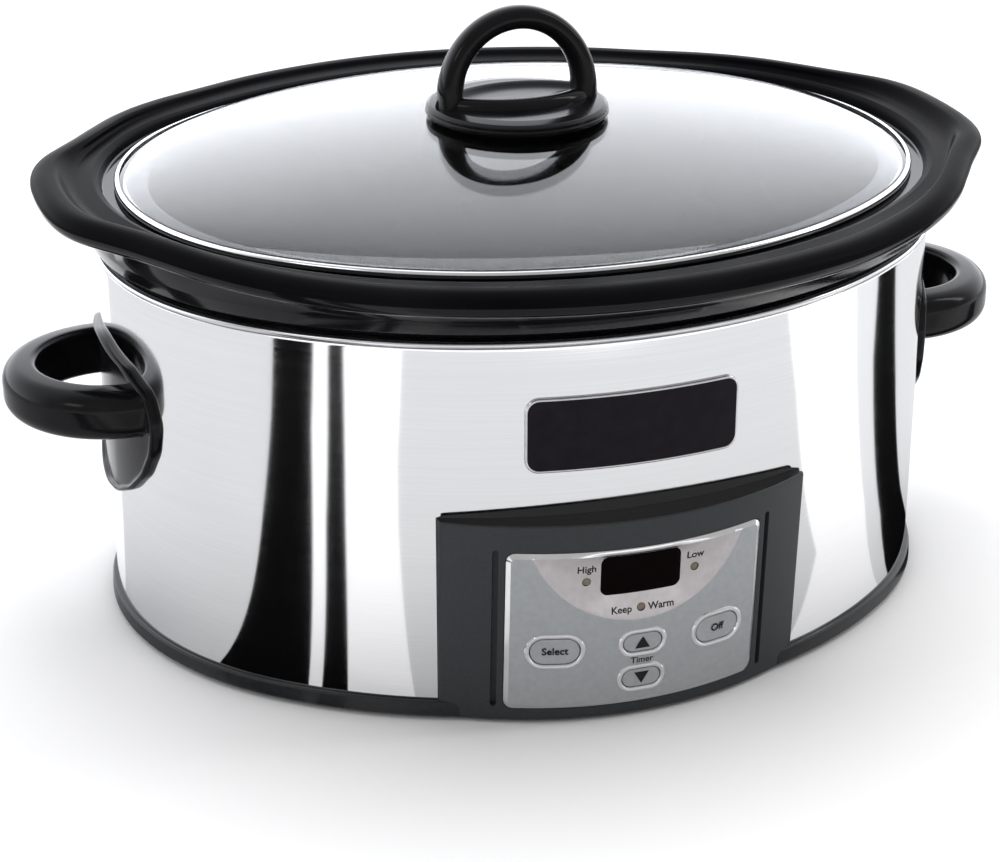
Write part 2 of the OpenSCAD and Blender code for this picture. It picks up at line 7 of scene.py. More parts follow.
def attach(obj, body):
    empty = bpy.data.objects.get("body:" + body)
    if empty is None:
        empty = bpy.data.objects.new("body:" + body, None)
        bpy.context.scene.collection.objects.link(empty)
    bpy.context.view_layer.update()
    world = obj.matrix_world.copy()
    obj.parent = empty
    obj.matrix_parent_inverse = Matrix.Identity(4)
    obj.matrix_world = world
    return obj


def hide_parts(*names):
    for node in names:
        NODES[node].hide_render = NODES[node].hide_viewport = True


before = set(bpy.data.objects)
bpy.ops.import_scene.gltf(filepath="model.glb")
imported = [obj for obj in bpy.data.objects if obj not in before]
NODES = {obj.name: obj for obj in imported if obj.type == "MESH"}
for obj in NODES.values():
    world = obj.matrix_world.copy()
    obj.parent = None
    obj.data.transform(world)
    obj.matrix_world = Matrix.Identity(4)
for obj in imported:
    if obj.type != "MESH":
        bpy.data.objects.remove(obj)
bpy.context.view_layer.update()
MM = 0.001

# ------------------------------------------------------------------ camera
cam_data = bpy.data.cameras.new("camera")
cam = bpy.data.objects.new("camera", cam_data)
bpy.context.scene.collection.objects.link(cam)
bpy.context.scene.camera = cam
cam_data.sensor_width = 36
cam_data.lens = 90.74
cam_data.clip_start = 0.05
cam_data.clip_end = 30
cam.location = (-0.3048, -0.9234, 0.4838)
look = Vector((0.28088, 0.87139, -0.40222))
cam.rotation_mode = "QUATERNION"
cam.rotation_quaternion = look.to_track_quat("-Z", "Y")
bpy.context.scene.view_settings.view_transform = "Standard"


# --------------------------------------------------------------- materials
def new_mat(name):
    m = bpy.data.materials.new(name)
    m.use_nodes = True
    nt = m.node_tree
    bsdf = nt.nodes["Principled BSDF"]
    return m, nt, bsdf


def coords(nt, scale=(1, 1, 1)):
    tc = nt.nodes.new("ShaderNodeTexCoord")
    mp = nt.nodes.new("ShaderNodeMapping")
    mp.inputs["Scale"].default_value = scale
    nt.links.new(tc.outputs["Object"], mp.inputs["Vector"])
    return mp.outputs["Vector"]


def noise(nt, vec, scale, detail=3.0, rough=0.5):
    n = nt.nodes.new("ShaderNodeTexNoise")
    n.inputs["Scale"].default_value = scale
    n.inputs["Detail"].default_value = detail
    n.inputs["Roughness"].default_value = rough
    nt.links.new(vec, n.inputs["Vector"])
    return n.outputs["Fac"]


def remap(nt, fac, lo, hi, a=0.3, b=0.7):
    r = nt.nodes.new("ShaderNodeMapRange")
    r.inputs["From Min"].default_value = a
    r.inputs["From Max"].default_value = b
    r.inputs["To Min"].default_value = lo
    r.inputs["To Max"].default_value = hi
    nt.links.new(fac, r.inputs["Value"])
    return r.outputs["Result"]


def tint(nt, fac, c0, c1):
    r = nt.nodes.new("ShaderNodeValToRGB")
    r.color_ramp.elements[0].position = 0.3
    r.color_ramp.elements[1].position = 0.7
    r.color_ramp.elements[0].color = (*c0, 1)
    r.color_ramp.elements[1].color = (*c1, 1)
    nt.links.new(fac, r.inputs["Fac"])
    return r.outputs["Color"]


def bump(nt, fac, strength, distance):
    b = nt.nodes.new("ShaderNodeBump")
    b.inputs["Strength"].default_value = strength
    b.inputs["Distance"].default_value = distance
    nt.links.new(fac, b.inputs["Height"])
    return b.outputs["Normal"]


def surface(name, c0, c1, rough=(0.3, 0.4), metallic=0.0, scale=40.0, stretch=(1, 1, 1),
            bump_strength=0.1, bump_distance=0.0002, bump_scale=None, spec=0.5, detail=3.0):
    """Material whose colour, roughness and relief follow one noise."""
    m, nt, b = new_mat(name)
    vec = coords(nt, stretch)
    f = noise(nt, vec, scale, detail)
    nt.links.new(tint(nt, f, c0, c1), b.inputs["Base Color"])
    nt.links.new(remap(nt, f, *rough), b.inputs["Roughness"])
    b.inputs["Metallic"].default_value = metallic
    b.inputs["Specular IOR Level"].default_value = spec
    g = f if bump_scale is None else noise(nt, vec, bump_scale, detail)
    nt.links.new(bump(nt, g, bump_strength, bump_distance), b.inputs["Normal"])
    return m


M = {}
M["steel"] = surface("polished_steel", (0.90, 0.90, 0.91), (0.95, 0.95, 0.955), (0.05, 0.09), 1.0,
                     scale=5, stretch=(2, 2, 420), bump_strength=0.05, bump_distance=0.00002, detail=2)
M["bead"] = surface("bead_steel", (0.70, 0.70, 0.72), (0.80, 0.80, 0.82), (0.16, 0.26), 1.0,
                    scale=30, bump_strength=0.06, bump_distance=0.0001)
M["rim_steel"] = surface("rim_steel", (0.80, 0.80, 0.81), (0.88, 0.88, 0.88), (0.10, 0.16), 1.0,
                         scale=30, bump_strength=0.03, bump_distance=0.0001)
M["pan"] = surface("pan_metal", (0.52, 0.52, 0.52), (0.66, 0.66, 0.65), (0.28, 0.42), 1.0,
                   scale=90, bump_strength=0.12, bump_distance=0.0002)
M["glaze"] = surface("black_glaze", (0.004, 0.004, 0.005), (0.007, 0.007, 0.008), (0.07, 0.13),
                     scale=16, bump_strength=0.03, bump_distance=0.0008, bump_scale=20, spec=0.2)
M["glaze_satin"] = surface("black_glaze_satin", (0.003, 0.003, 0.004), (0.006, 0.006, 0.007), (0.26, 0.38),
                           scale=16, bump_strength=0.04, bump_distance=0.0008, bump_scale=20, spec=0.012)
M["plastic"] = surface("black_plastic", (0.004, 0.004, 0.005), (0.008, 0.008, 0.009), (0.12, 0.18),
                       scale=60, bump_strength=0.03, bump_distance=0.0002, spec=0.16)
M["charcoal"] = surface("charcoal_plastic", (0.030, 0.034, 0.037), (0.037, 0.042, 0.045), (0.40, 0.48),
                        scale=900, bump_strength=0.10, bump_distance=0.00005, spec=0.25)
# painted shade: the housing's top face takes a near-black, barely reflective copy of the charcoal plastic
M["top_shade"] = surface("charcoal_top_painted_shade", (0.003, 0.003, 0.003), (0.006, 0.006, 0.006), (0.16, 0.24),
                     scale=300, bump_strength=0.05, bump_distance=0.00005, spec=0.08)
# painted shade: near-black colour for the insides of the housing's slots and recess
M["groove"] = surface("groove_painted_shade", (0.002, 0.002, 0.002), (0.004, 0.004, 0.004), (0.5, 0.6),
                      scale=400, bump_strength=0.05, spec=0.15)
M["base"] = surface("base_plastic", (0.016, 0.017, 0.018), (0.023, 0.024, 0.026), (0.28, 0.38),
                    scale=500, bump_strength=0.10, bump_distance=0.00008, spec=0.3)
M["plate"] = surface("silver_plate", (0.37, 0.385, 0.395), (0.41, 0.425, 0.435), (0.30, 0.38), 0.35,
                     scale=400, bump_strength=0.04, bump_distance=0.00002)
M["dish"] = surface("silver_dish", (0.55, 0.52, 0.52), (0.62, 0.585, 0.585), (0.17, 0.23), 0.9,
                    scale=300, bump_strength=0.03, bump_distance=0.00002)
M["ring"] = surface("ring_metal", (0.80, 0.80, 0.81), (0.90, 0.90, 0.90), (0.10, 0.16), 1.0,
                    scale=80, bump_strength=0.02)
M["display"] = surface("display_lens", (0.0015, 0.0004, 0.0006), (0.0025, 0.0008, 0.001), (0.05, 0.08),
                       scale=30, bump_strength=0.01, spec=0.03)
M["light"] = surface("light_lens", (0.13, 0.13, 0.075), (0.18, 0.175, 0.11), (0.25, 0.35),
                     scale=300, bump_strength=0.05)
M["light_warm"] = surface("light_lens_warm", (0.17, 0.11, 0.08), (0.22, 0.15, 0.11), (0.25, 0.35),
                          scale=300, bump_strength=0.05)
M["ink"] = surface("label_ink", (0.008, 0.008, 0.009), (0.014, 0.014, 0.015), (0.45, 0.55),
                   scale=800, bump_strength=0.05, bump_distance=0.00002, spec=0.2)
M["badge"] = surface("badge_enamel", (0.006, 0.004, 0.007), (0.010, 0.007, 0.011), (0.12, 0.18),
                     scale=200, bump_strength=0.02, spec=0.12)
M["badge_edge"] = surface("badge_silver", (0.62, 0.62, 0.63), (0.72, 0.72, 0.73), (0.16, 0.24), 1.0,
                          scale=200, bump_strength=0.03)
M["rubber"] = surface("foot_rubber", (0.018, 0.018, 0.018), (0.03, 0.03, 0.03), (0.6, 0.75),
                      scale=700, bump_strength=0.2, bump_distance=0.0001)
M["zinc"] = surface("plated_steel", (0.50, 0.51, 0.53), (0.62, 0.62, 0.62), (0.3, 0.5), 1.0,
                    scale=140, bump_strength=0.1, bump_distance=0.0001)
M["foil"] = surface("heater_foil", (0.42, 0.42, 0.42), (0.58, 0.58, 0.58), (0.35, 0.5), 1.0,
                    scale=220, bump_strength=0.3, bump_distance=0.0003)
M["ceramic"] = surface("fuse_ceramic", (0.78, 0.77, 0.73), (0.86, 0.85, 0.82), (0.5, 0.6),
                       scale=400, bump_strength=0.1)
M["board"] = surface("board_laminate", (0.015, 0.10, 0.045), (0.02, 0.14, 0.06), (0.3, 0.45),
                     scale=260, bump_strength=0.12, bump_distance=0.0001)
M["parts"] = surface("parts_plastic", (0.03, 0.07, 0.18), (0.05, 0.10, 0.24), (0.35, 0.45),
                     scale=300, bump_strength=0.08)
M["wire"] = surface("wire_silicone", (0.40, 0.05, 0.03), (0.50, 0.08, 0.05), (0.4, 0.5),
                    scale=300, bump_strength=0.05)
M["module"] = surface("module_plastic", (0.03, 0.03, 0.03), (0.05, 0.05, 0.05), (0.45, 0.55),
                      scale=300, bump_strength=0.08)
M["silicone"] = surface("washer_silicone", (0.22, 0.22, 0.22), (0.30, 0.30, 0.30), (0.5, 0.6),
                        scale=300, bump_strength=0.08)


def glass_mat():
    m, nt, b = new_mat("lid_glass")
    vec = coords(nt)
    f = noise(nt, vec, 9, 2)
    nt.links.new(remap(nt, f, 0.02, 0.05), b.inputs["Roughness"])
    nt.links.new(tint(nt, f, (0.90, 0.93, 0.95), (0.94, 0.96, 0.97)), b.inputs["Base Color"])
    nt.links.new(bump(nt, noise(nt, vec, 14, 1), 0.02, 0.001), b.inputs["Normal"])
    b.inputs["Transmission Weight"].default_value = 1.0
    b.inputs["IOR"].default_value = 1.52
    return m


M["glass"] = glass_mat()

KEPT = {
    "bottom_plate": "zinc", "rubber_feet": "rubber", "base_screws": "zinc", "well_post": "zinc",
    "well_bolt": "zinc", "well_nut": "zinc", "handle_screws": "zinc", "housing_screws": "zinc",
    "knob_screw": "zinc", "knob_washer": "silicone", "heater_band": "foil", "thermal_fuse": "ceramic",
    "temperature_sensor": "zinc", "display_module": "module", "control_board": "board",
    "tact_switches": "module", "power_board": "board", "power_parts": "parts", "wiring": "wire",
    "cord_bushing": "rubber",
}
for n, k in KEPT.items():
    o = NODES[n]
    o.data.materials.clear()
    o.data.materials.append(M[k])


# ------------------------------------------------------------ mesh helpers
def finish_mesh(name, verts, faces, mats, face_mats=None, body="cooker", replaces=(), slot=None,
                sharp=32.0):
    me = bpy.data.meshes.new(name)
    me.from_pydata([tuple(v) for v in verts], [], faces)
    for m in mats:
        me.materials.append(M[m])
    if face_mats is not None:
        me.polygons.foreach_set("material_index", face_mats)
    bm = bmesh.new()
    bm.from_mesh(me)
    bmesh.ops.remove_doubles(bm, verts=bm.verts, dist=1e-7)
    bmesh.ops.dissolve_degenerate(bm, edges=bm.edges, dist=1e-7)
    bmesh.ops.recalc_face_normals(bm, faces=bm.faces)
    bm.to_mesh(me)
    bm.free()
    me.polygons.foreach_set("use_smooth", [True] * len(me.polygons))
    me.set_sharp_from_angle(angle=math.radians(sharp))
    me.update()
    o = bpy.data.objects.new(name, me)
    bpy.context.scene.collection.objects.link(o)
    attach(o, body)
    if replaces:
        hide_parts(*replaces)
    return o


class Soup:
    """Collects grids of points into one mesh."""

    def __init__(self):
        self.v, self.f, self.m = [], [], []

    def grid(self, rows, mat=0, wrap=False, close=False, cap_a=False, cap_b=False, row_mats=None):
        base = len(self.v)
        nr, nc = len(rows), len(rows[0])
        for r in rows:
            self.v.extend(r)
        cols = nc if wrap else nc - 1
        last = nr if close else nr - 1
        for i in range(last):
            k = mat if row_mats is None else row_mats[i]
            a, b = base + i * nc, base + ((i + 1) % nr) * nc
            for j in range(cols):
                j2 = (j + 1) % nc
                self.f.append((a + j, a + j2, b + j2, b + j))
                self.m.append(k)
        if cap_a:
            self.fan(base, nc, mat if row_mats is None else row_mats[0])
        if cap_b:
            self.fan(base + (nr - 1) * nc, nc, mat if row_mats is None else row_mats[-1])
        return base

    def face(self, start, count, mat=0):
        """One flat face over a row of points."""
        self.f.append(tuple(range(start, start + count)))
        self.m.append(mat)

    def fan(self, start, count, mat):
        c = sum((Vector(self.v[start + j]) for j in range(count)), Vector()) / count
        k = len(self.v)
        self.v.append(tuple(c))
        for j in range(count):
            self.f.append((start + j, start + (j + 1) % count, k))
            self.m.append(mat)

    def fill(self, loop, place, mat, step=3.0):
        """Fill a closed flat outline with small triangles and set them on a curved face with place."""
        xs, ys = [p[0] for p in loop], [p[1] for p in loop]
        pts = list(loop)
        for x in np.arange(min(xs) + step, max(xs) - step / 2, step):
            for y in np.arange(min(ys) + step, max(ys) - step / 2, step):
                if min(math.hypot(x - a, y - b) for a, b in loop) > step * 0.5:
                    pts.append((x, y))
        n = len(loop)
        edges = [(i, (i + 1) % n) for i in range(n)]
        vs, _, fs, *_ = delaunay_2d_cdt([Vector(p) for p in pts], edges, [], 1, 1e-6)
        k = len(self.v)
        self.v.extend(place(p.x, p.y) for p in vs)
        for f in fs:
            self.f.append(tuple(k + i for i in f))
            self.m.append(mat)

    def make(self, name, mats, **kw):
        verts = [(x * MM, y * MM, z * MM) for x, y, z in self.v]
        return finish_mesh(name, verts, self.f, mats, self.m, **kw)


def fillet(pts, seg=6, closed=False):
    """pts: (x, y) or (x, y, r); corners with r are rounded."""
    out = []
    n = len(pts)
    for i, p in enumerate(pts):
        r = p[2] if len(p) > 2 else 0
        if r <= 0 or (not closed and i in (0, n - 1)):
            out.append((p[0], p[1]))
            continue
        a, b = pts[i - 1], pts[(i + 1) % n]
        pa, pb, pc = Vector(a[:2]), Vector(b[:2]), Vector(p[:2])
        ua, ub = (pa - pc), (pb - pc)
        la, lb = ua.length, ub.length
        ua.normalize(), ub.normalize()
        ang = ua.angle(ub)
        if ang > math.pi - 1e-3:
            out.append((p[0], p[1]))
            continue
        t = min(r / math.tan(ang / 2), la * 0.49, lb * 0.49)
        rr = t * math.tan(ang / 2)
        bis = (ua + ub).normalized()
        c = pc + bis * (rr / math.sin(ang / 2))
        s, e = pc + ua * t - c, pc + ub * t - c
        turn = math.atan2(s.x * e.y - s.y * e.x, s.dot(e))
        for k in range(seg + 1):
            th = turn * k / seg
            ct, st = math.cos(th), math.sin(th)
            out.append((c.x + s.x * ct - s.y * st, c.y + s.x * st + s.y * ct))
    return out


def subdivide(pts, step, closed=False):
    """Adds points so that no side is longer than step."""
    out = []
    n = len(pts)
    for i in range(n if closed else n - 1):
        a, b = pts[i], pts[(i + 1) % n]
        k = max(1, math.ceil(math.dist(a[:2], b[:2]) / step))
        for j in range(k):
            t = j / k
            out.append(tuple(a[q] + (b[q] - a[q]) * t for q in range(2)))
    if not closed:
        out.append(tuple(pts[-1][:2]))
    return out


# ------------------------------------------------------- body oval (in mm)
END_R, END_C, SIDE_C = 120.5, 49.4208, 56.4144
SIDE_R = END_R + math.hypot(END_C, SIDE_C)
JOIN = math.atan2(SIDE_C, END_C)


def oval_point(a):
    """Point on the body oval whose normal points along angle a."""
    c, s = math.cos(a), math.sin(a)
    if abs(s) <= math.sin(JOIN):
        return (math.copysign(END_C, c) + END_R * c, END_R * s), (c, s)
    return (SIDE_R * c, -math.copysign(SIDE_C, s) + SIDE_R * s), (c, s)


def stations(ne=40, ns=40):
    quad = [JOIN * i / ne for i in range(ne)] + [JOIN + (math.pi / 2 - JOIN) * i / ns for i in range(ns)]
    out = list(quad)
    out += [math.pi - a for a in reversed(quad[1:] + [math.pi / 2])]
    out += [math.pi + a for a in quad]
    out += [2 * math.pi - a for a in reversed(quad[1:] + [math.pi / 2])]
    return out


RING = [oval_point(a) for a in stations()]


def lathe(soup, profile, close=True, row_mats=None, wide=1.0):
    """Sweeps a section of (distance from the oval, height) round the oval."""
    rows = [[(p[0] + n[0] * d, (p[1] + n[1] * d) * wide, z) for p, n in RING] for d, z in profile]
    soup.grid(rows, wrap=True, close=close, row_mats=row_mats)


def cut(obj, cutters):
    """Takes closed meshes away from obj and throws them out."""
    for c in cutters:
        mod = obj.modifiers.new("cut", "BOOLEAN")
        mod.operation = "DIFFERENCE"
        mod.solver = "EXACT"
        mod.object = c
    dg = bpy.context.evaluated_depsgraph_get()
    me = bpy.data.meshes.new_from_object(obj.evaluated_get(dg))
    obj.modifiers.clear()
    old = obj.data
    obj.data = me
    me.name = obj.name
    bpy.data.meshes.remove(old)
    for c in cutters:
        bpy.data.objects.remove(c)
    return obj


def cutter_box(lo, hi, mat="groove"):
    (x0, y0, z0), (x1, y1, z1) = lo, hi
    v = [(x, y, z) for x in (x0, x1) for y in (y0, y1) for z in (z0, z1)]
    f = [(0, 1, 3, 2), (4, 6, 7, 5), (0, 4, 5, 1), (2, 3, 7, 6), (0, 2, 6, 4), (1, 5, 7, 3)]
    me = bpy.data.meshes.new("cutter")
    me.from_pydata([tuple(c * MM for c in p) for p in v], [], f)
    me.materials.append(M[mat])
    o = bpy.data.objects.new("cutter", me)
    bpy.context.scene.collection.objects.link(o)
    return o


# ------------------------------------------------- steel wrap and the base
s = Soup()
lathe(s, fillet([(0, 7.9, 0.2), (0, 9.0), (0, 80), (0, 149.3), (0, 150.4, 0.25), (-0.6, 150.4, 0.2),
                 (-0.6, 149.3), (-0.6, 9.0), (-0.6, 7.9, 0.2)], 3, True))
wrap = s.make("outer_wrap_skin", ["steel"], replaces=["outer_wrap"], slot="polished_steel")
cut(wrap, [cutter_box((-50, -150, 0), (50, -110, 76), "steel")])
wrap.data.set_sharp_from_angle(angle=math.radians(32))

s = Soup()
bead = [(-0.4 + 1.2 * math.cos(t), 151.8 + 1.2 * math.sin(t))
        for t in np.linspace(-math.pi * 0.62, math.pi * 0.5, 15)]
inner = fillet([(-1.2, 153.0), (-3.0, 152.2, 1.5), (-15.9, 152.2, 1.2), (-16, 46.3, 8), (-19.8, 38.7, 5),
                (-27.3, 34.8, 4), (-34, 34.8)], 6)
outer = fillet([(-34, 34.0), (-27, 34.0, 4), (-19, 38, 5), (-15.2, 46, 8), (-15.2, 151.3, 0.5),
                (-2.0, 151.3, 0.4), (-1.0, 150.7)], 6)
prof = outer + bead + inner
mats = [1] * (len(outer) - 1) + [0] * (len(bead) + 8) + [1] * (len(inner))
mats = (mats + [1] * len(prof))[: len(prof) - 1]
lathe(s, prof, close=False, row_mats=mats)
s.fan(0, len(RING), 1)
s.fan((len(prof) - 1) * len(RING), len(RING), 1)
s.make("heating_well_pan", ["bead", "pan"], replaces=["heating_well"], slot="aluminised_steel")

s = Soup()
lathe(s, fillet([(-2.9, 1.5, 0.3), (1.4, 1.5, 0.5), (2.3, 2.4, 0.8), (1.9, 7.4, 0.5), (1.2, 7.8, 0.3),
                 (-0.9, 7.8), (-0.9, 15), (-2.9, 15), (-2.9, 9.5), (-16, 9.5), (-16, 7.3),
                 (-2.9, 7.3)], 4, True))
base = s.make("base_skirt", ["base"], replaces=["base_ring"], slot="base_plastic")
cut(base, [cutter_box((-72.6, -160, 0), (72.6, -130, 30), "base")])
base.data.set_sharp_from_angle(angle=math.radians(32))


# ------------------------------------------------------------------- crock
# quarter outline of the rim seen from above, from the middle of a side to the middle of an ear
RIM_QUARTER = [(0, 158.4), (40, 154.3), (80, 142), (112, 124.6), (132, 110), (148, 93.5), (160, 77),
               (170, 62.5), (179, 50.5), (185.6, 41), (189.9, 30.5), (192.2, 18), (192.9, 6)]


def spline_loop(pts, per=12):
    """Closed Catmull-Rom curve through pts."""
    out = []
    n = len(pts)
    for i in range(n):
        p0, p1, p2, p3 = (Vector(pts[(i + k - 1) % n]) for k in range(4))
        for j in range(per):
            t = j / per
            out.append(0.5 * ((2 * p1) + (p2 - p0) * t + (2 * p0 - 5 * p1 + 4 * p2 - p3) * t * t
                              + (3 * p1 - p0 - 3 * p2 + p3) * t ** 3))
    return out


quarter = [Vector(q) for q in RIM_QUARTER]
loop = quarter + [Vector((q.x, -q.y)) for q in reversed(quarter)]
loop += [Vector((-q.x, -q.y)) for q in quarter[1:]] + [Vector((-q.x, q.y)) for q in reversed(quarter)][:-1]
WIDE = 1.035    # the rim and the lid are a little wider across than the wall's oval
RIM_LINE = np.array([tuple(q) for q in spline_loop([tuple(q) for q in loop])])


def rim_distance(p, n):
    """How far the rim outline lies from an oval point along its normal."""
    a, b = RIM_LINE, np.roll(RIM_LINE, -1, axis=0)
    nx, ny = -n[1], n[0]
    sa = (a[:, 0] - p[0]) * nx + (a[:, 1] - p[1]) * ny
    sb = (b[:, 0] - p[0]) * nx + (b[:, 1] - p[1]) * ny
    best = 0
    for i in np.nonzero(sa * sb <= 0)[0]:
        t = sa[i] / (sa[i] - sb[i]) if sa[i] != sb[i] else 0
        q = a[i] + (b[i] - a[i]) * t
        d = (q[0] - p[0]) * n[0] + (q[1] - p[1]) * n[1]
        best = max(best, d)
    return best


CROCK_RING = [oval_point(a) for a in stations(72, 44)]
REACH = [rim_distance(p, n) for p, n in CROCK_RING]
for _ in range(4):
    REACH = [(REACH[i - 1] + 2 * REACH[i] + REACH[(i + 1) % len(REACH)]) / 4 for i in range(len(REACH))]


def smooth_step(a, b, x):
    t = min(1.0, max(0.0, (x - a) / (b - a)))
    return t * t * (3 - 2 * t)


def crock_profile(D, x):
    """Section of the crock from the middle of its underside to the middle of its floor."""
    lift = 0.5 + 3.9 * smooth_step(85, 178, abs(x))
    ear = smooth_step(120, 175, abs(x))
    under = fillet([(-60, 36.2), (-38, 36.2, 10), (-22.5, 45, 12), (-18.2, 62, 20), (-17.6, 149, 2),
                    (-16.8, 153.2, 0.5), (-3.2, 153.2, 0.6), (-3, 157, 0.8), (2.2, 157, 1.0),
                    (4.6, 163, 6), (6.9, 168.6 + lift * 0.4, 1.5)], 5)
    edge = []
    zc = 174.1 + lift
    for k in range(0, 21):
        t = -math.pi * 0.62 + math.pi * 1.12 * k / 20
        rx = 4.8 if t < 0 else 6.5
        edge.append((D - rx + rx * math.cos(t), zc + 4.9 * math.sin(t)))
    crest = zc + 5.0
    top = fillet([(D - 6.5, crest), (D - 10, crest - 0.3, 4),
                  (D * 0.35 + 0.5, 177.2 + 0.45 * lift - 0.5 * ear, 14), (-0.6, 176.9 + 0.55 * lift, 2.2),
                  (-3.1, 176.4 + 0.4 * lift, 1.4), (-3.9, 174.3, 0.9), (-22, 174.2, 2.5),
                  (-25.8, 166, 10), (-26.5, 120, 30), (-29, 70, 30), (-38, 47.5, 16), (-60, 46)], 7)
    return under + edge + top[1:]


s = Soup()
cols = [crock_profile(D, p[0]) for D, (p, n) in zip(REACH, CROCK_RING)]
rows = []
for i in range(len(cols[0])):
    rows.append([(p[0] + n[0] * c[i][0],
                  (p[1] + n[1] * c[i][0]) * (1 + (WIDE - 1) * smooth_step(152, 168, c[i][1])), c[i][1])
                 for (p, n), c in zip(CROCK_RING, cols)])
first_top = next(i for i, q in enumerate(cols[0]) if q[1] > 178.0)
last_top = max(i for i, q in enumerate(cols[0]) if q[0] > -3.5 and q[1] > 175)
kinds = [1 if first_top <= i <= last_top else 0 for i in range(len(rows))]
s.grid(rows, 0, wrap=True, cap_a=True, cap_b=True, row_mats=kinds)
s.make("crock_stoneware", ["glaze", "glaze_satin"], body="crock", replaces=["crock"],
       slot="black_glaze", sharp=48)

# --------------------------------------------------------------------- lid
LID_D = -8.25
APEX, EDGE_Z, GLASS_T = 195.5, 176.2, 3.6


def dome(sc, apex=APEX, edge=EDGE_Z):
    """Height of the glass at a share of the way from its middle to its edge."""
    rise = apex - edge
    return edge + rise * (0.755 * (1 - sc * sc) + 0.245 * math.sqrt(max(0.0, 1 - sc ** 8)))


s = Soup()
edge_ring = [(p[0] + n[0] * (LID_D - 1.2), (p[1] + n[1] * (LID_D - 1.2)) * WIDE) for p, n in RING]
scales = [0.1145] + [0.1145 + (1 - 0.1145) * (1 - (1 - k / 30) ** 1.9) for k in range(1, 31)]
rows = [[(x * q, y * q, dome(q)) for x, y in edge_ring] for q in scales]
rows.append([(x, y, EDGE_Z - 0.9) for x, y in edge_ring])
rows.append([(x * 0.997, y * 0.997, EDGE_Z - 1.7) for x, y in edge_ring])
for q in reversed(scales):
    rows.append([(x * q * 0.985, y * q * 0.985, dome(q, APEX - GLASS_T, EDGE_Z - 1.9)) for x, y in edge_ring])
# bore for the knob screw
bore = [(4.2 * math.cos(math.atan2(y, x)), 4.2 * math.sin(math.atan2(y, x))) for x, y in edge_ring]
rows.insert(0, [(x, y, APEX) for x, y in bore])
rows.append([(x, y, APEX - GLASS_T) for x, y in bore])
s.grid(rows, 0, wrap=True, close=True)
s.make("lid_glass_dome", ["glass"], body="lid", replaces=["lid_glass"], slot="lid_glass", sharp=60)

s = Soup()
prof = []
for k in range(15):
    t = -math.pi * 0.5 + math.pi * k / 14
    prof.append((-9.6 + 1.0 * math.cos(t), 176.2 + 1.4 * math.sin(t)))
prof += fillet([(-9.6, 177.6), (-11.6, 177.5, 0.3), (-11.6, 177.1, 0.2), (-10.4, 176.9, 0.4),
                (-9.4, 176.0, 0.4), (-9.4, 174.7, 0.2), (-13.9, 174.6, 0.2), (-13.9, 174.3)], 3)[1:]
lathe(s, prof, wide=WIDE)
s.make("lid_rim_band", ["rim_steel"], body="lid", replaces=["lid_rim"], slot="rim_steel", sharp=45)


# -------------------------------------------------------------------- knob
def circle_pts(c, r, n=24):
    turns = [2 * math.pi * k / n for k in range(n)]
    return [(c[0] + r * math.cos(a), c[1] + r * math.sin(a)) for a in turns]


s = Soup()
knob_prof = fillet([(1.0, 195.9), (27.0, 195.6, 0.3), (30.0, 195.5, 0.4), (35.2, 195.6, 0.6),
                    (36.6, 196.5, 0.7), (36.7, 197.8, 0.4), (36.2, 198.2, 0.2), (36.2, 198.5, 0.2),
                    (36.4, 199.4, 0.6), (34.8, 200.4, 1.2), (30, 201.0, 6), (1.0, 201.2)], 7)
s.grid([[(x, y, z) for x, y in circle_pts((0, 0), r, 128)] for r, z in knob_prof],
       wrap=True, cap_a=True, cap_b=True)

# eye-shaped foot with a soft top edge
EYE_H, EYE_W = 33.0, 15.3
EYE_R = (EYE_H ** 2 + EYE_W ** 2) / (2 * EYE_W)


def eye(off, n=48):
    """Outline of the eye, two arcs moved inwards by off."""
    r, centre = EYE_R - off, EYE_R - EYE_W
    half = math.acos(centre / r)
    turns = [-half + 2 * half * k / n for k in range(n)]
    arc = [(r * math.sin(t), centre - r * math.cos(t)) for t in turns]
    return arc + [(-x, -y) for x, y in arc]


rows = []
for off, z in [(-0.8, 200.6), (-0.7, 201.8), (-0.2, 203.2), (0.8, 204.4), (2.2, 205.0),
               (3.8, 204.8), (5.0, 204.1), (6.2, 203.3), (8.0, 202.9), (10.5, 202.8)]:
    rows.append([(x, y, z) for x, y in eye(off)])
s.grid(rows, 0, wrap=True, cap_b=True)

# loop: a rounded bar bent into an arch, wider towards its feet
n = 97
path = [(-27.9, 200.6), (-27.9, 202.6)]
for k in range(n):
    a = math.pi * (1 - k / (n - 1))
    path.append((27.9 * math.cos(a), 204.6 + 29.8 * math.sin(a)))
path += [(27.9, 202.6), (27.9, 200.6)]
rows = []
for i, (x, z) in enumerate(path):
    a, b = path[max(0, i - 1)], path[min(len(path) - 1, i + 1)]
    tx, tz = b[0] - a[0], b[1] - a[1]
    ln = math.hypot(tx, tz)
    nx, nz = -tz / ln, tx / ln
    up = max(0.0, min(1.0, (z - 201) / 34))
    half_r = 4.6 + 0.5 * (1 - up) ** 2
    half_y = 5.3 + 1.5 * (1 - up) ** 2
    ring = []
    for k in range(32):
        t = 2 * math.pi * k / 32
        ct, st = math.cos(t), math.sin(t)
        u = half_r * math.copysign(abs(ct) ** 0.8, ct)
        v = half_y * math.copysign(abs(st) ** 0.8, st)
        ring.append((x + nx * u, v, z + nz * u))
    rows.append(ring)
s.grid(rows, 0, wrap=True, cap_a=True, cap_b=True)
s.make("knob_moulding", ["plastic"], body="lid", replaces=["lid_knob"], slot="black_plastic", sharp=42)


# ----------------------------------------------------------------- handles
def on_end(side, u, v, h):
    """Point on the end wall: u across, v up, h out of the wall."""
    a = math.asin(max(-1, min(1, u / END_R)))
    return (side * (END_C + (END_R + h) * math.cos(a)), (END_R + h) * math.sin(a), v)


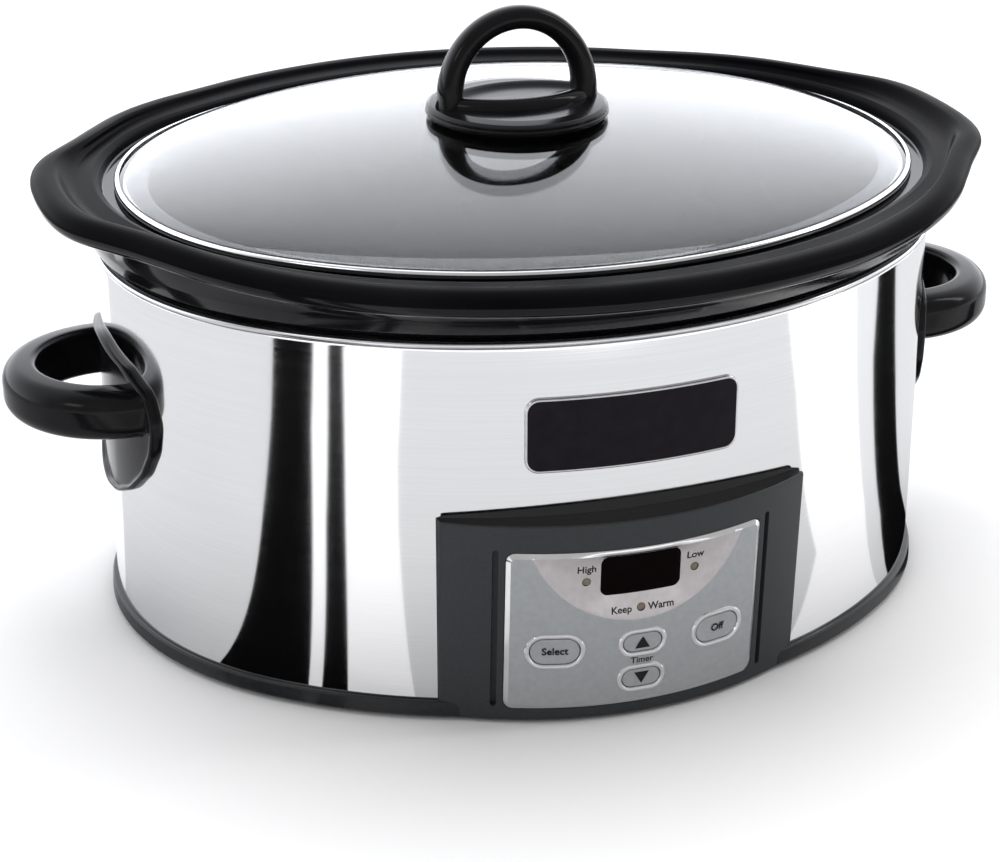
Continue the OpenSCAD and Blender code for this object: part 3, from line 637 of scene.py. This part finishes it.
SHIELD = [(-50.2, 100, 14), (-46, 112.3, 8), (-31, 118.6, 16), (0, 122.2, 60), (31, 118.6, 16),
          (46, 112.3, 8), (50.2, 100, 14), (48.0, 88, 16), (41.5, 76.8, 18), (30.5, 67, 22),
          (16, 60.2, 24), (0, 57.9, 30), (-16, 60.2, 24), (-30.5, 67, 22), (-41.5, 76.8, 18),
          (-48.0, 88, 16)]
GRIP_X, GRIP_Z, GRIP_R = 167.8, 102.0, 36.2
GRIP_SECTION = [(-7, -10.2, 3.6), (7, -9.7, 9), (7, 9.4, 9), (-7, 10.5, 3.0)]


def handle(side, name):
    """One handle; side is -1 on the left and 1 on the right."""
    s = Soup()
    outline = subdivide(fillet(SHIELD, 5, True), 2.2, True)
    cz = 92.0
    # thin shield that follows the wall, with a raised lip round its face
    rows = []
    lip = [(1.0, 0.05), (1.0, 1.4), (0.995, 2.3), (0.984, 2.9), (0.968, 3.1), (0.952, 2.8), (0.940, 2.1),
           (0.926, 1.5)]
    for q, h in lip + [(q, 1.35) for q in (0.90, 0.84, 0.7, 0.55, 0.4, 0.25, 0.12)]:
        rows.append([on_end(side, u * q, cz + (v - cz) * q, h) for u, v in outline])
    s.grid(rows, 0, wrap=True, cap_b=True)
    # grip: a rounded bar, two short straight legs and a half ring between them
    sec = fillet(GRIP_SECTION, 10, True)
    stops = [(-8.0, 1.0), (-5.4, 0.75), (-4.2, 0.4), (-3.0, 0.16), (-1.6, 0.04), (0.0, 0.0)]
    route = [(reach, 0.0, flare) for reach, flare in stops]
    route += [(0.0, math.pi * k / 72, 0.0) for k in range(1, 72)]
    route += [(reach, math.pi, flare) for reach, flare in reversed(stops)]
    rows = []
    for reach, t, flare in route:
        ring = []
        for r, z in sec:
            g = 1 + 0.16 * flare
            rr = GRIP_R + r * g
            x, y = GRIP_X + rr * math.sin(t) + reach, -rr * math.cos(t)
            wall = END_C + math.sqrt(max(0.0, (END_R + 1.0) ** 2 - y * y))
            ring.append((side * max(x, wall), y, GRIP_Z + z * g))
        rows.append(ring)
    s.grid(rows, 0, wrap=True)
    s.make(name + "_moulding", ["plastic"], replaces=[name], slot="black_plastic", sharp=42)


handle(-1, "handle_left")
handle(1, "handle_right")


# ------------------------------------------------------------------- badge
def rect_outline(w, h, r, n):
    """Rounded rectangle with n steps round each corner."""
    pts = []
    cx0, cy0 = w / 2 - r, h / 2 - r
    for cx, cy, a0 in ((cx0, cy0, 0), (-cx0, cy0, 90), (-cx0, -cy0, 180), (cx0, -cy0, 270)):
        for k in range(n + 1):
            a = math.radians(a0 + 90 * k / n)
            pts.append((cx + r * math.cos(a), cy + r * math.sin(a)))
    return pts


def rounded_loop(w, h, r, off, n=8, step=2.0):
    """Rounded rectangle moved inwards by off, with the same number of points for any off."""
    base = rect_outline(w, h, r, n)
    ins = rect_outline(w - 2 * off, h - 2 * off, max(0.02, r - off), n)
    out = []
    m = len(base)
    for i in range(m):
        a, b = base[i], base[(i + 1) % m]
        p, q = ins[i], ins[(i + 1) % m]
        k = max(1, round(math.dist(a, b) / step))
        for j in range(k):
            t = j / k
            out.append((p[0] + (q[0] - p[0]) * t, p[1] + (q[1] - p[1]) * t))
    return out


def on_front(u, v, h):
    """Point on the long front wall: u across along the wall, v up, h out of it."""
    a = u / SIDE_R
    return ((SIDE_R + h) * math.sin(a), SIDE_C - (SIDE_R + h) * math.cos(a), v)


BADGE, BADGE_Z, ENAMEL_H = (83.4, 29.4, 5.5), 116.3, 0.95
s = Soup()
levels = [(0, 0.05, 0), (0, 0.7, 0), (0.25, 1.05, 0), (0.6, 1.2, 0), (1.0, 1.15, 0), (1.15, ENAMEL_H, 1),
          (3, ENAMEL_H, 1), (6, ENAMEL_H, 1)]
rows = [[on_front(x, BADGE_Z + y, h) for x, y in rounded_loop(*BADGE, off)] for off, h, _ in levels]
s.grid(rows, 0, wrap=True, row_mats=[k for _, _, k in levels][1:])
s.fill(rounded_loop(*BADGE, levels[-1][0]), lambda x, y: on_front(x, BADGE_Z + y, ENAMEL_H), 1)
s.make("badge_plate", ["badge_edge", "badge"], replaces=["badge"], slot="badge_enamel", sharp=50)

# ------------------------------------------------------------ panel frame
PR, PY, LEAN = 139.0, 146.0, math.radians(3.13)
CL, SL = math.cos(LEAN), math.sin(LEAN)


def on_panel(u, v, h):
    """Point on the bowed panel: u across along the front, v up, h out of it."""
    a = u / PR
    x, y, z = (PR + h) * math.sin(a), PR - (PR + h) * math.cos(a), v
    return (x, y * CL - z * SL - PY, y * SL + z * CL)


HALF, TOP, BOT = 72.3, 84.2, 1.5


def housing():
    s = Soup()
    # plan at panel height 0, before the lean: corner, bowed front, corner
    plan = []
    n = 90
    rc = 1.6
    a_c = math.asin((HALF - rc) / (PR - rc))
    ccx, ccy = (PR - rc) * math.sin(a_c), PR - (PR - rc) * math.cos(a_c)
    for k in range(7):
        ang = math.pi + (math.pi / 2 - a_c) * k / 6
        plan.append((-ccx + rc * math.cos(ang), ccy + rc * math.sin(ang)))
    for k in range(1, n):
        a = -a_c + 2 * a_c * k / n
        plan.append((PR * math.sin(a), PR - PR * math.cos(a)))
    for k in range(7):
        ang = -math.pi / 2 + a_c + (math.pi / 2 - a_c) * k / 6
        plan.append((ccx + rc * math.cos(ang), ccy + rc * math.sin(ang)))

    def wall_y(x, off):
        return SIDE_C - math.sqrt((SIDE_R + off) ** 2 - x * x)

    def point(x, y, z, inset):
        """World point of a plan point at height z, moved inwards by inset."""
        ln = math.hypot(x, y - PR)
        x, y = x - x / ln * inset, y - (y - PR) / ln * inset
        w = (z - y * SL) / CL
        return (x, y * CL - w * SL - PY, z)

    heights = [TOP - 3 - (TOP - 6 - BOT) * k / 22 for k in range(23)]
    wall = [(x, wall_y(x, 0.1), TOP - 0.2) for x, y in plan]
    front = [point(x, y, TOP - 0.45, 1.5) for x, y in plan]
    rows = [[tuple(a[q] + (b[q] - a[q]) * f for q in range(3)) for a, b in zip(wall, front)]
            for f in (0, 0.25, 0.5, 0.75, 1)]
    # the five top-face rows take the painted-shade copy of the charcoal plastic
    kinds = [1, 1, 1, 1, 1]
    for z, inset in ((0.12, 1.1), (0.0, 0.75), (0.08, 0.4), (0.35, 0.12), (0.9, 0.0)):
        rows.append([point(x, y, TOP - z, inset) for x, y in plan])
        kinds.append(0)
    for z in heights:
        rows.append([point(x, y, z, 0.0) for x, y in plan])
        kinds.append(0)
    rows.append([point(x, y, BOT + 0.7, 0.0) for x, y in plan])
    rows.append([point(x, y, BOT + 0.2, 0.2) for x, y in plan])
    rows.append([point(x, y, BOT, 0.7) for x, y in plan])
    rows.append([(x, wall_y(x, -3.2), BOT) for x, y in plan])
    rows.append([(x, wall_y(x, -3.2), 7.2) for x, y in plan])
    rows.append([(x, wall_y(x, 0.1), 7.7) for x, y in plan])
    kinds += [0] * 6
    s.grid(rows, 0, wrap=False, close=True, row_mats=kinds)
    # flat side walls close the two ends
    nc = len(plan)
    for j in (0, nc - 1):
        s.f.append(tuple(i * nc + j for i in range(len(rows))))
        s.m.append(0)
    return s.make("housing_shell", ["charcoal", "top_shade"], replaces=["control_housing"],
                  slot="charcoal_plastic", sharp=30)


house = housing()


def panel_cutter(outline, h0, h1=4, mat="groove"):
    """Closed mesh between two heights of the panel, to cut the housing with."""
    s = Soup()
    s.grid([[on_panel(x, y, h) for x, y in outline] for h in (h0, (h0 + h1) / 2, h1)], 0, wrap=True)
    n = len(outline)
    s.face(0, n)
    s.face(2 * n, n)
    me = bpy.data.meshes.new("cutter")
    me.from_pydata([(x * MM, y * MM, z * MM) for x, y, z in s.v], [], s.f)
    bm = bmesh.new()
    bm.from_mesh(me)
    bmesh.ops.triangulate(bm, faces=[f for f in bm.faces if len(f.verts) > 4])
    bmesh.ops.recalc_face_normals(bm, faces=bm.faces)
    bm.to_mesh(me)
    bm.free()
    me.materials.append(M[mat])
    o = bpy.data.objects.new("cutter", me)
    bpy.context.scene.collection.objects.link(o)
    return o


def slot_outline(cx, cy, half_len, r, n=10):
    pts = []
    for sgn, a0 in ((1, 0), (-1, 180)):
        for k in range(n + 1):
            a = math.radians(a0 + 180 * k / n)
            pts.append((cx + r * math.cos(a), cy + sgn * half_len + r * math.sin(a)))
    return subdivide(pts, 3.0, True)


PLATE_W, PLATE_H, PLATE_C, PLATE_R = 102.6, 66.5, 39.75, 3.6
RECESS_H, GROOVE_H, PLATE_BACK = -3.2, -2.2, -3.0
recess = [(x, y + PLATE_C) for x, y in rounded_loop(PLATE_W + 0.7, PLATE_H + 0.7, 3.9, 0, 8, 2.0)]
# the recess and the two slots take the near-black groove colour, painted shade
cut(house, [panel_cutter(recess, RECESS_H)]
    + [panel_cutter(slot_outline(x, 40.5, 32.4, 1.15), GROOVE_H) for x in (-55.2, 55.2)])
house.data.polygons.foreach_set("use_smooth", [True] * len(house.data.polygons))
house.data.set_sharp_from_angle(angle=math.radians(28))

# --------------------------------------------------------------- faceplate
SELECT_BTN, OFF_BTN, UP_BTN, DOWN_BTN = (-32.5, 31.8), (32.5, 31.8), (1.0, 32.7), (1.0, 17.3)
BIG, SMALL = (23.2, 15.2), (19.6, 12.0)
BUTTONS = [(SELECT_BTN, BIG), (OFF_BTN, BIG), (UP_BTN, SMALL), (DOWN_BTN, SMALL)]
DISP_C, DISP = (0.0, 61.7), (31.8, 16.2, 3)
WINDOWS = [(c, (*size, size[1] / 2)) for c, size in BUTTONS] + [(DISP_C, DISP)]
LIGHTS, LIGHT_R = [(-21.4, 60.4), (21.6, 60.4), (0.0, 47.6)], 1.7
FACE_H = 0.9
BEVEL_W, BEVEL_H = 1.85, 0.85
DISH_C, DISH_R, DISH_DEEP, DISH_TOP = (0.0, 87.5), 44.6, 1.9, 72.2


def stadium(size, off=0.0, n=16):
    """Stadium outline moved outwards by off, with the same number of points for any off."""
    half, r = (size[0] - size[1]) / 2, size[1] / 2 + off
    pts = []
    for sgn, a0 in ((1, -90), (-1, 90)):
        for k in range(n + 1):
            a = math.radians(a0 + 180 * k / n)
            pts.append((sgn * half + r * math.cos(a), r * math.sin(a)))
    out = []
    m = len(pts)
    for i in range(m):
        a, b = pts[i], pts[(i + 1) % m]
        k = max(1, round(size[0] / 6)) if i in (n, m - 1) else 1
        for j in range(k):
            out.append((a[0] + (b[0] - a[0]) * j / k, a[1] + (b[1] - a[1]) * j / k))
    return out


def rect_dist(x, y, w, h, r):
    """Signed distance to a rounded rectangle, negative inside."""
    qx, qy = abs(x) - (w / 2 - r), abs(y) - (h / 2 - r)
    return math.hypot(max(qx, 0), max(qy, 0)) + min(max(qx, qy), 0) - r


def plate_edge(u, v):
    """How far a point of the panel lies inside the faceplate's outline."""
    return -rect_dist(u, v - PLATE_C, PLATE_W, PLATE_H, PLATE_R)


def dish_edge(u, v):
    """How far a point of the panel lies inside the dish's outline."""
    return min(DISH_R - math.hypot(u - DISH_C[0], v - DISH_C[1]), DISH_TOP - v)


def plate_height(u, v):
    """Height of the faceplate's surface above the housing's front."""
    e, a = plate_edge(u, v), dish_edge(u, v)
    h = FACE_H
    if e < BEVEL_W:
        h -= BEVEL_H * (1 - max(0.0, e) / BEVEL_W)
    if a > 0:
        b = max(0.0, rect_dist(u - DISP_C[0], v - DISP_C[1], *DISP))
        h -= DISH_DEEP * a / (a + b + 1e-9)
    return h


def faceplate():
    loops = []
    for off in (0.0, 0.35, 1.1, BEVEL_W, 2.2):
        loops.append([(x, y + PLATE_C) for x, y in rounded_loop(PLATE_W, PLATE_H, PLATE_R, off, 8, 1.6)])
    holes = [[(c[0] + x, c[1] + y) for x, y in stadium(size)] for c, size in BUTTONS]
    holes.append([(x + DISP_C[0], y + DISP_C[1]) for x, y in rounded_loop(*DISP, 0, 8, 1.0)])
    holes += [circle_pts(c, LIGHT_R) for c in LIGHTS]
    pts, edges = [], []

    def add(loop, closed=True):
        k = len(pts)
        pts.extend(loop)
        m = len(loop)
        for j in range(m if closed else m - 1):
            edges.append((k + j, k + (j + 1) % m))

    for lp in loops + holes:
        add(lp)
    # arc of the dish below its straight top edge
    half = math.sqrt(DISH_R ** 2 - (DISH_C[1] - DISH_TOP) ** 2)
    a0 = math.atan2(DISH_TOP - DISH_C[1], -half)
    a1 = math.atan2(DISH_TOP - DISH_C[1], half)
    arc = [(DISH_R * math.cos(t), DISH_C[1] + DISH_R * math.sin(t)) for t in np.linspace(a0, a1, 70)]
    add(arc, closed=False)
    # filler grid
    for v in np.arange(7.6, 73, 1.5):
        for u in np.arange(-50, 50.1, 1.5):
            clear = plate_edge(u, v) >= 2.6
            clear = clear and all(rect_dist(u - c[0], v - c[1], *size) >= 0.6 for c, size in WINDOWS)
            clear = clear and all(math.hypot(u - c[0], v - c[1]) >= 2.4 for c in LIGHTS)
            clear = clear and abs(DISH_R - math.hypot(u, v - DISH_C[1])) >= 0.5 and abs(v - DISH_TOP) >= 0.4
            if clear:
                pts.append((u, v))
    vs, _, fs, *_ = delaunay_2d_cdt([Vector(p) for p in pts], edges, [], 0, 1e-6)

    def kept(u, v):
        if plate_edge(u, v) < 0 or any(rect_dist(u - c[0], v - c[1], *size) < 0 for c, size in WINDOWS):
            return False
        return all(math.hypot(u - c[0], v - c[1]) > LIGHT_R - 0.02 for c in LIGHTS)

    s = Soup()
    s.v = [on_panel(p.x, p.y, plate_height(p.x, p.y)) for p in vs]
    for f in fs:
        cu = sum(vs[i].x for i in f) / len(f)
        cv = sum(vs[i].y for i in f) / len(f)
        if kept(cu, cv):
            s.f.append(tuple(f))
            s.m.append(2 if plate_edge(cu, cv) < BEVEL_W else 1 if dish_edge(cu, cv) > 0 else 0)
    # outer wall, then the walls of the display opening and of the light holes
    for k, lp in enumerate([loops[0]] + holes[len(BUTTONS):]):
        s.grid([[on_panel(x, y, plate_height(x, y)) for x, y in lp],
                [on_panel(x, y, PLATE_BACK) for x, y in lp]], min(k, 1), wrap=True)
    # raised rings round the buttons
    for c, size in BUTTONS:
        foot = plate_height(*c)
        rows = []
        for off, h in ((0.0, 0.0), (-0.15, 0.32), (-0.5, 0.58), (-1.0, 0.68), (-1.5, 0.58), (-1.9, 0.32),
                       (-2.05, 0.0), (-2.05, -1.5)):
            rows.append([on_panel(c[0] + x, c[1] + y, foot + h) for x, y in stadium(size, off)])
        s.grid(rows, 2, wrap=True)
    s.make("faceplate_silver", ["plate", "dish", "ring"], replaces=["faceplate"],
           slot="silver_plastic", sharp=24)


faceplate()


def button(name, c, size):
    """Push button: a cap inside its ring, and a stem towards its switch."""
    s = Soup()
    rows = []
    for off, h in ((-2.3, -2.4), (-2.3, 0.85), (-2.36, 1.0), (-2.55, 1.1), (-2.9, 1.12), (-3.7, 1.06),
                   (-4.6, 1.0), (-5.5, 0.97)):
        rows.append([on_panel(c[0] + x, c[1] + y, h) for x, y in stadium(size, off)])
    s.grid(rows, 0, wrap=True)
    n = len(rows[0])
    s.face(0, n)
    s.face((len(rows) - 1) * n, n)
    depth = 3.6 if size is BIG else 7.2
    s.grid([[on_panel(x, y, h) for x, y in circle_pts(c, 2.2)] for h in (-2.3, -depth + 0.3, -depth)], 0,
           wrap=True, cap_b=True)
    s.make(name + "_cap", ["plate"], body=name, replaces=[name], slot="button_plastic", sharp=30)


for name, (c, size) in zip(("button_select", "button_off", "button_up", "button_down"), BUTTONS):
    button(name, c, size)

# display window, a little below the floor of the dish
s = Soup()
rows = []
floor_h = FACE_H - DISH_DEEP
for off, h in ((0.05, -1.3), (0.05, -0.5), (0.2, -0.3), (0.5, -0.2), (2.0, -0.2), (4.0, -0.2), (6.0, -0.2)):
    rows.append([on_panel(x + DISP_C[0], y + DISP_C[1], h + floor_h)
                 for x, y in rounded_loop(*DISP, off, 8, 1.0)])
s.grid(rows, 0, wrap=True)
n = len(rows[0])
s.face(0, n)
s.face((len(rows) - 1) * n, n)
s.make("display_window_lens", ["display"], replaces=["display_window"], slot="display_lens", sharp=40)

# indicator lights: small domed lenses on round pipes
s = Soup()
for i, c in enumerate(LIGHTS):
    top = plate_height(c[0], c[1]) - 0.15
    rows = []
    for r, h in ((1.2, -7.5 + abs(c[0]) * 0.16), (1.2, -2.6), (1.62, -2.5), (1.62, top - 0.25),
                 (1.4, top + 0.02), (1.0, top + 0.16), (0.5, top + 0.22)):
        rows.append([on_panel(x, y, h) for x, y in circle_pts(c, r)])
    s.grid(rows, 1 if i == 2 else 0, wrap=True, cap_a=True, cap_b=True)
s.make("indicator_lenses", ["light", "light_warm"], replaces=["indicator_lights"],
       slot="light_lens", sharp=50)


# ------------------------------------------------------------------ labels
def above(u, v):
    return plate_height(u, v) + 0.04


def cap_top(u, v):
    return 1.2


def label(name, text, u, v, size, rise=above, body="cooker"):
    """Printed word on the panel, centred at (u, v)."""
    cu = bpy.data.curves.new(name, "FONT")
    cu.body = text
    cu.size = size
    cu.align_x = "CENTER"
    cu.align_y = "CENTER"
    cu.resolution_u = 6
    cu.offset = 0.02 * size
    tmp = bpy.data.objects.new("tmp_text", cu)
    bpy.context.scene.collection.objects.link(tmp)
    dg = bpy.context.evaluated_depsgraph_get()
    me = bpy.data.meshes.new_from_object(tmp.evaluated_get(dg))
    bpy.data.objects.remove(tmp)
    bm = bmesh.new()
    bm.from_mesh(me)
    bmesh.ops.triangulate(bm, faces=bm.faces)
    for p in bm.verts:
        at = (u + p.co.x, v + p.co.y)
        p.co = Vector(on_panel(*at, rise(*at))) * MM
    bm.to_mesh(me)
    bm.free()
    me.name = name
    me.materials.clear()
    me.materials.append(M["ink"])
    o = bpy.data.objects.new(name, me)
    bpy.context.scene.collection.objects.link(o)
    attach(o, body)


label("label_high", "High", -21.4, 65.6, 4.0)
label("label_low", "Low", 21.6, 65.6, 4.0)
label("label_keep", "Keep", -7.7, 47.3, 3.85)
label("label_warm", "Warm", 8.0, 47.3, 3.95)
label("label_timer", "Timer", 1.0, 25.0, 3.6)
label("label_select", "Select", *SELECT_BTN, 4.1, cap_top, "button_select")
label("label_off", "Off", *OFF_BTN, 4.2, cap_top, "button_off")


def triangle(name, c, sgn, body):
    """Printed arrow on a button; sgn is 1 for up and -1 for down."""
    s = Soup()
    foot, tip = c[1] - sgn * 2.4, c[1] + sgn * 2.5
    pts = subdivide([(c[0] - 2.9, foot), (c[0] + 2.9, foot), (c[0], tip)], 0.8, True)
    s.grid([[on_panel(x, y, h) for x, y in pts] for h in (1.0, 1.22)], 0, wrap=True, cap_b=True)
    s.make(name, ["ink"], body=body, sharp=30)


triangle("arrow_up", UP_BTN, 1, "button_up")
triangle("arrow_down", DOWN_BTN, -1, "button_down")

# ------------------------------------------------------- stage and lights
def flat(name, color, rough, spec):
    """Even paper or floor, with a faint mottle."""
    m, nt, b = new_mat(name)
    vec = coords(nt)
    f = noise(nt, vec, 3)
    nt.links.new(tint(nt, f, tuple(c * 0.99 for c in color), color), b.inputs["Base Color"])
    b.inputs["Roughness"].default_value = rough
    b.inputs["Specular IOR Level"].default_value = spec
    return m


def sheet(name, outline, z, mat):
    """Flat sheet of the stage at height z, in mm."""
    me = bpy.data.meshes.new(name)
    me.from_pydata([(x * MM, y * MM, z * MM) for x, y in outline], [], [tuple(range(len(outline)))])
    me.materials.append(mat)
    o = bpy.data.objects.new(name, me)
    bpy.context.scene.collection.objects.link(o)
    return o


FLOOR_HALF = 4500
sheet("floor", [(-FLOOR_HALF, -FLOOR_HALF), (FLOOR_HALF, -FLOOR_HALF), (FLOOR_HALF, FLOOR_HALF),
                (-FLOOR_HALF, FLOOR_HALF)], 0, flat("floor_pale", (0.93, 0.925, 0.92), 0.5, 0.0))


def flag(name, left, right, tone, z=0.4):
    """Paper flag lying on the floor beside the cooker, seen only in its polished wall; the pale sheet in
    front of the cooker is painted shade of the floor, not a flag.
    """
    o = sheet(name, left + right[::-1], z, flat(name + "_paper", (tone, tone, tone), 0.9, 0.0))
    o.visible_camera = False
    o.visible_diffuse = False
    o.visible_shadow = False
    o.visible_transmission = False


# edges of the flags from far to near, going round the cooker from its left to its right
DARK_A = [(-620, -330), (-380, -200), (-160, -72)]
DARK_B = [(-560, -420), (-335, -247), (-120, -102)]
THIN_A = [(-520, -450), (-395, -330), (-240, -201), (-115, -105)]
THIN_B = [(-500, -480), (-375, -350), (-230, -220), (-105, -111)]
FRONT_A = [(-380, -570), (-225, -312), (-180, -250), (-83, -128)]
FRONT_B = [(560, -430), (325, -238), (170, -140), (60, -130)]
SIDE_A = [(640, -175), (490, -132), (305, -102), (225, -90), (140, -88)]
SIDE_B = [(680, -60), (510, -58), (400, -71), (210, -70), (150, -78)]
RIGHT_B = [(680, 30), (510, 13), (340, -9), (220, -21), (165, -20)]
BEHIND_LEFT = [(-4300, -700), (-4300, 4000), (-1400, 4000), (-500, 900), (-250, 200), (-170, 0)]
BEHIND_RIGHT = [(4300, 600), (4300, 4000), (1500, 4000), (500, 900), (170, 0)]
DARK, PALE = 0.003, 0.60
flag("flag_left", DARK_A, DARK_B, DARK)
flag("flag_left_thin", THIN_A, THIN_B, DARK)
flag("flag_right", SIDE_B, RIGHT_B, DARK)
flag("flag_left_pale", BEHIND_LEFT, [(-1600, -700)] + DARK_A, PALE, 0.3)
flag("flag_right_pale", RIGHT_B, BEHIND_RIGHT, PALE, 0.3)
# painted shade: pale grey sheet in front of the cooker, seen only in the polished wall, standing in for the
# floor in the cooker's soft shadow
flag("flag_front_shade", FRONT_A, FRONT_B, PALE, 0.3)
flag("flag_side", SIDE_A, SIDE_B, 0.66, 0.3)

world = bpy.data.worlds.new("studio")
bpy.context.scene.world = world
world.use_nodes = True


def studio_glow(world, front=0.48, low=2.5, high=1.15):
    """Soft glow, brighter on the far side of the cooker, that fades with height."""
    nt = world.node_tree
    where = nt.nodes.new("ShaderNodeTexCoord")
    split = nt.nodes.new("ShaderNodeSeparateXYZ")
    nt.links.new(where.outputs["Generated"], split.inputs[0])
    ramp = nt.nodes.new("ShaderNodeValToRGB")
    stops = ramp.color_ramp.elements
    cool = (0.97, 0.985, 1.03)
    for at, level in ((0.0, low), (0.30, high), (0.55, high), (1.0, high)):
        stop = stops[0] if at == 0 else stops[1] if at == 1 else stops.new(at)
        stop.position = at
        stop.color = [level * c for c in cool] + [1]
    ramp.color_ramp.interpolation = "EASE"
    nt.links.new(split.outputs["Z"], ramp.inputs["Fac"])
    side = nt.nodes.new("ShaderNodeMapRange")
    side.interpolation_type = "SMOOTHSTEP"
    side.inputs["From Min"].default_value = -0.25
    side.inputs["From Max"].default_value = 0.45
    nt.links.new(split.outputs["Y"], side.inputs["Value"])
    mix = nt.nodes.new("ShaderNodeMix")
    mix.data_type = "RGBA"
    mix.inputs[6].default_value = (front, front, front, 1)
    nt.links.new(side.outputs["Result"], mix.inputs["Factor"])
    nt.links.new(ramp.outputs["Color"], mix.inputs[7])
    nt.links.new(mix.outputs[2], nt.nodes["Background"].inputs["Color"])
    nt.nodes["Background"].inputs["Strength"].default_value = 1.0


studio_glow(world)


def softbox(name, loc, target, size, radiance):
    """Rectangular area light of a given radiance, turned towards target."""
    d = bpy.data.lights.new(name, "AREA")
    d.shape = "RECTANGLE"
    d.size, d.size_y = size
    d.energy = radiance * math.pi * size[0] * size[1]
    o = bpy.data.objects.new(name, d)
    bpy.context.scene.collection.objects.link(o)
    o.location = loc
    o.rotation_mode = "QUATERNION"
    o.rotation_quaternion = (Vector(target) - Vector(loc)).to_track_quat("-Z", "Y")
    return o


softbox("overhead", (0.1, 0.35, 2.4), (0, 0, 0), (1.9, 1.9), 2.6).visible_glossy = False
softbox("strip_left", (-1.4, -0.9, 1.0), (0, 0, 0.15), (0.5, 0.35), 2.6)
softbox("strip_right", (1.5, -0.4, 1.2), (0, 0, 0.15), (0.2, 1.2), 6.0)
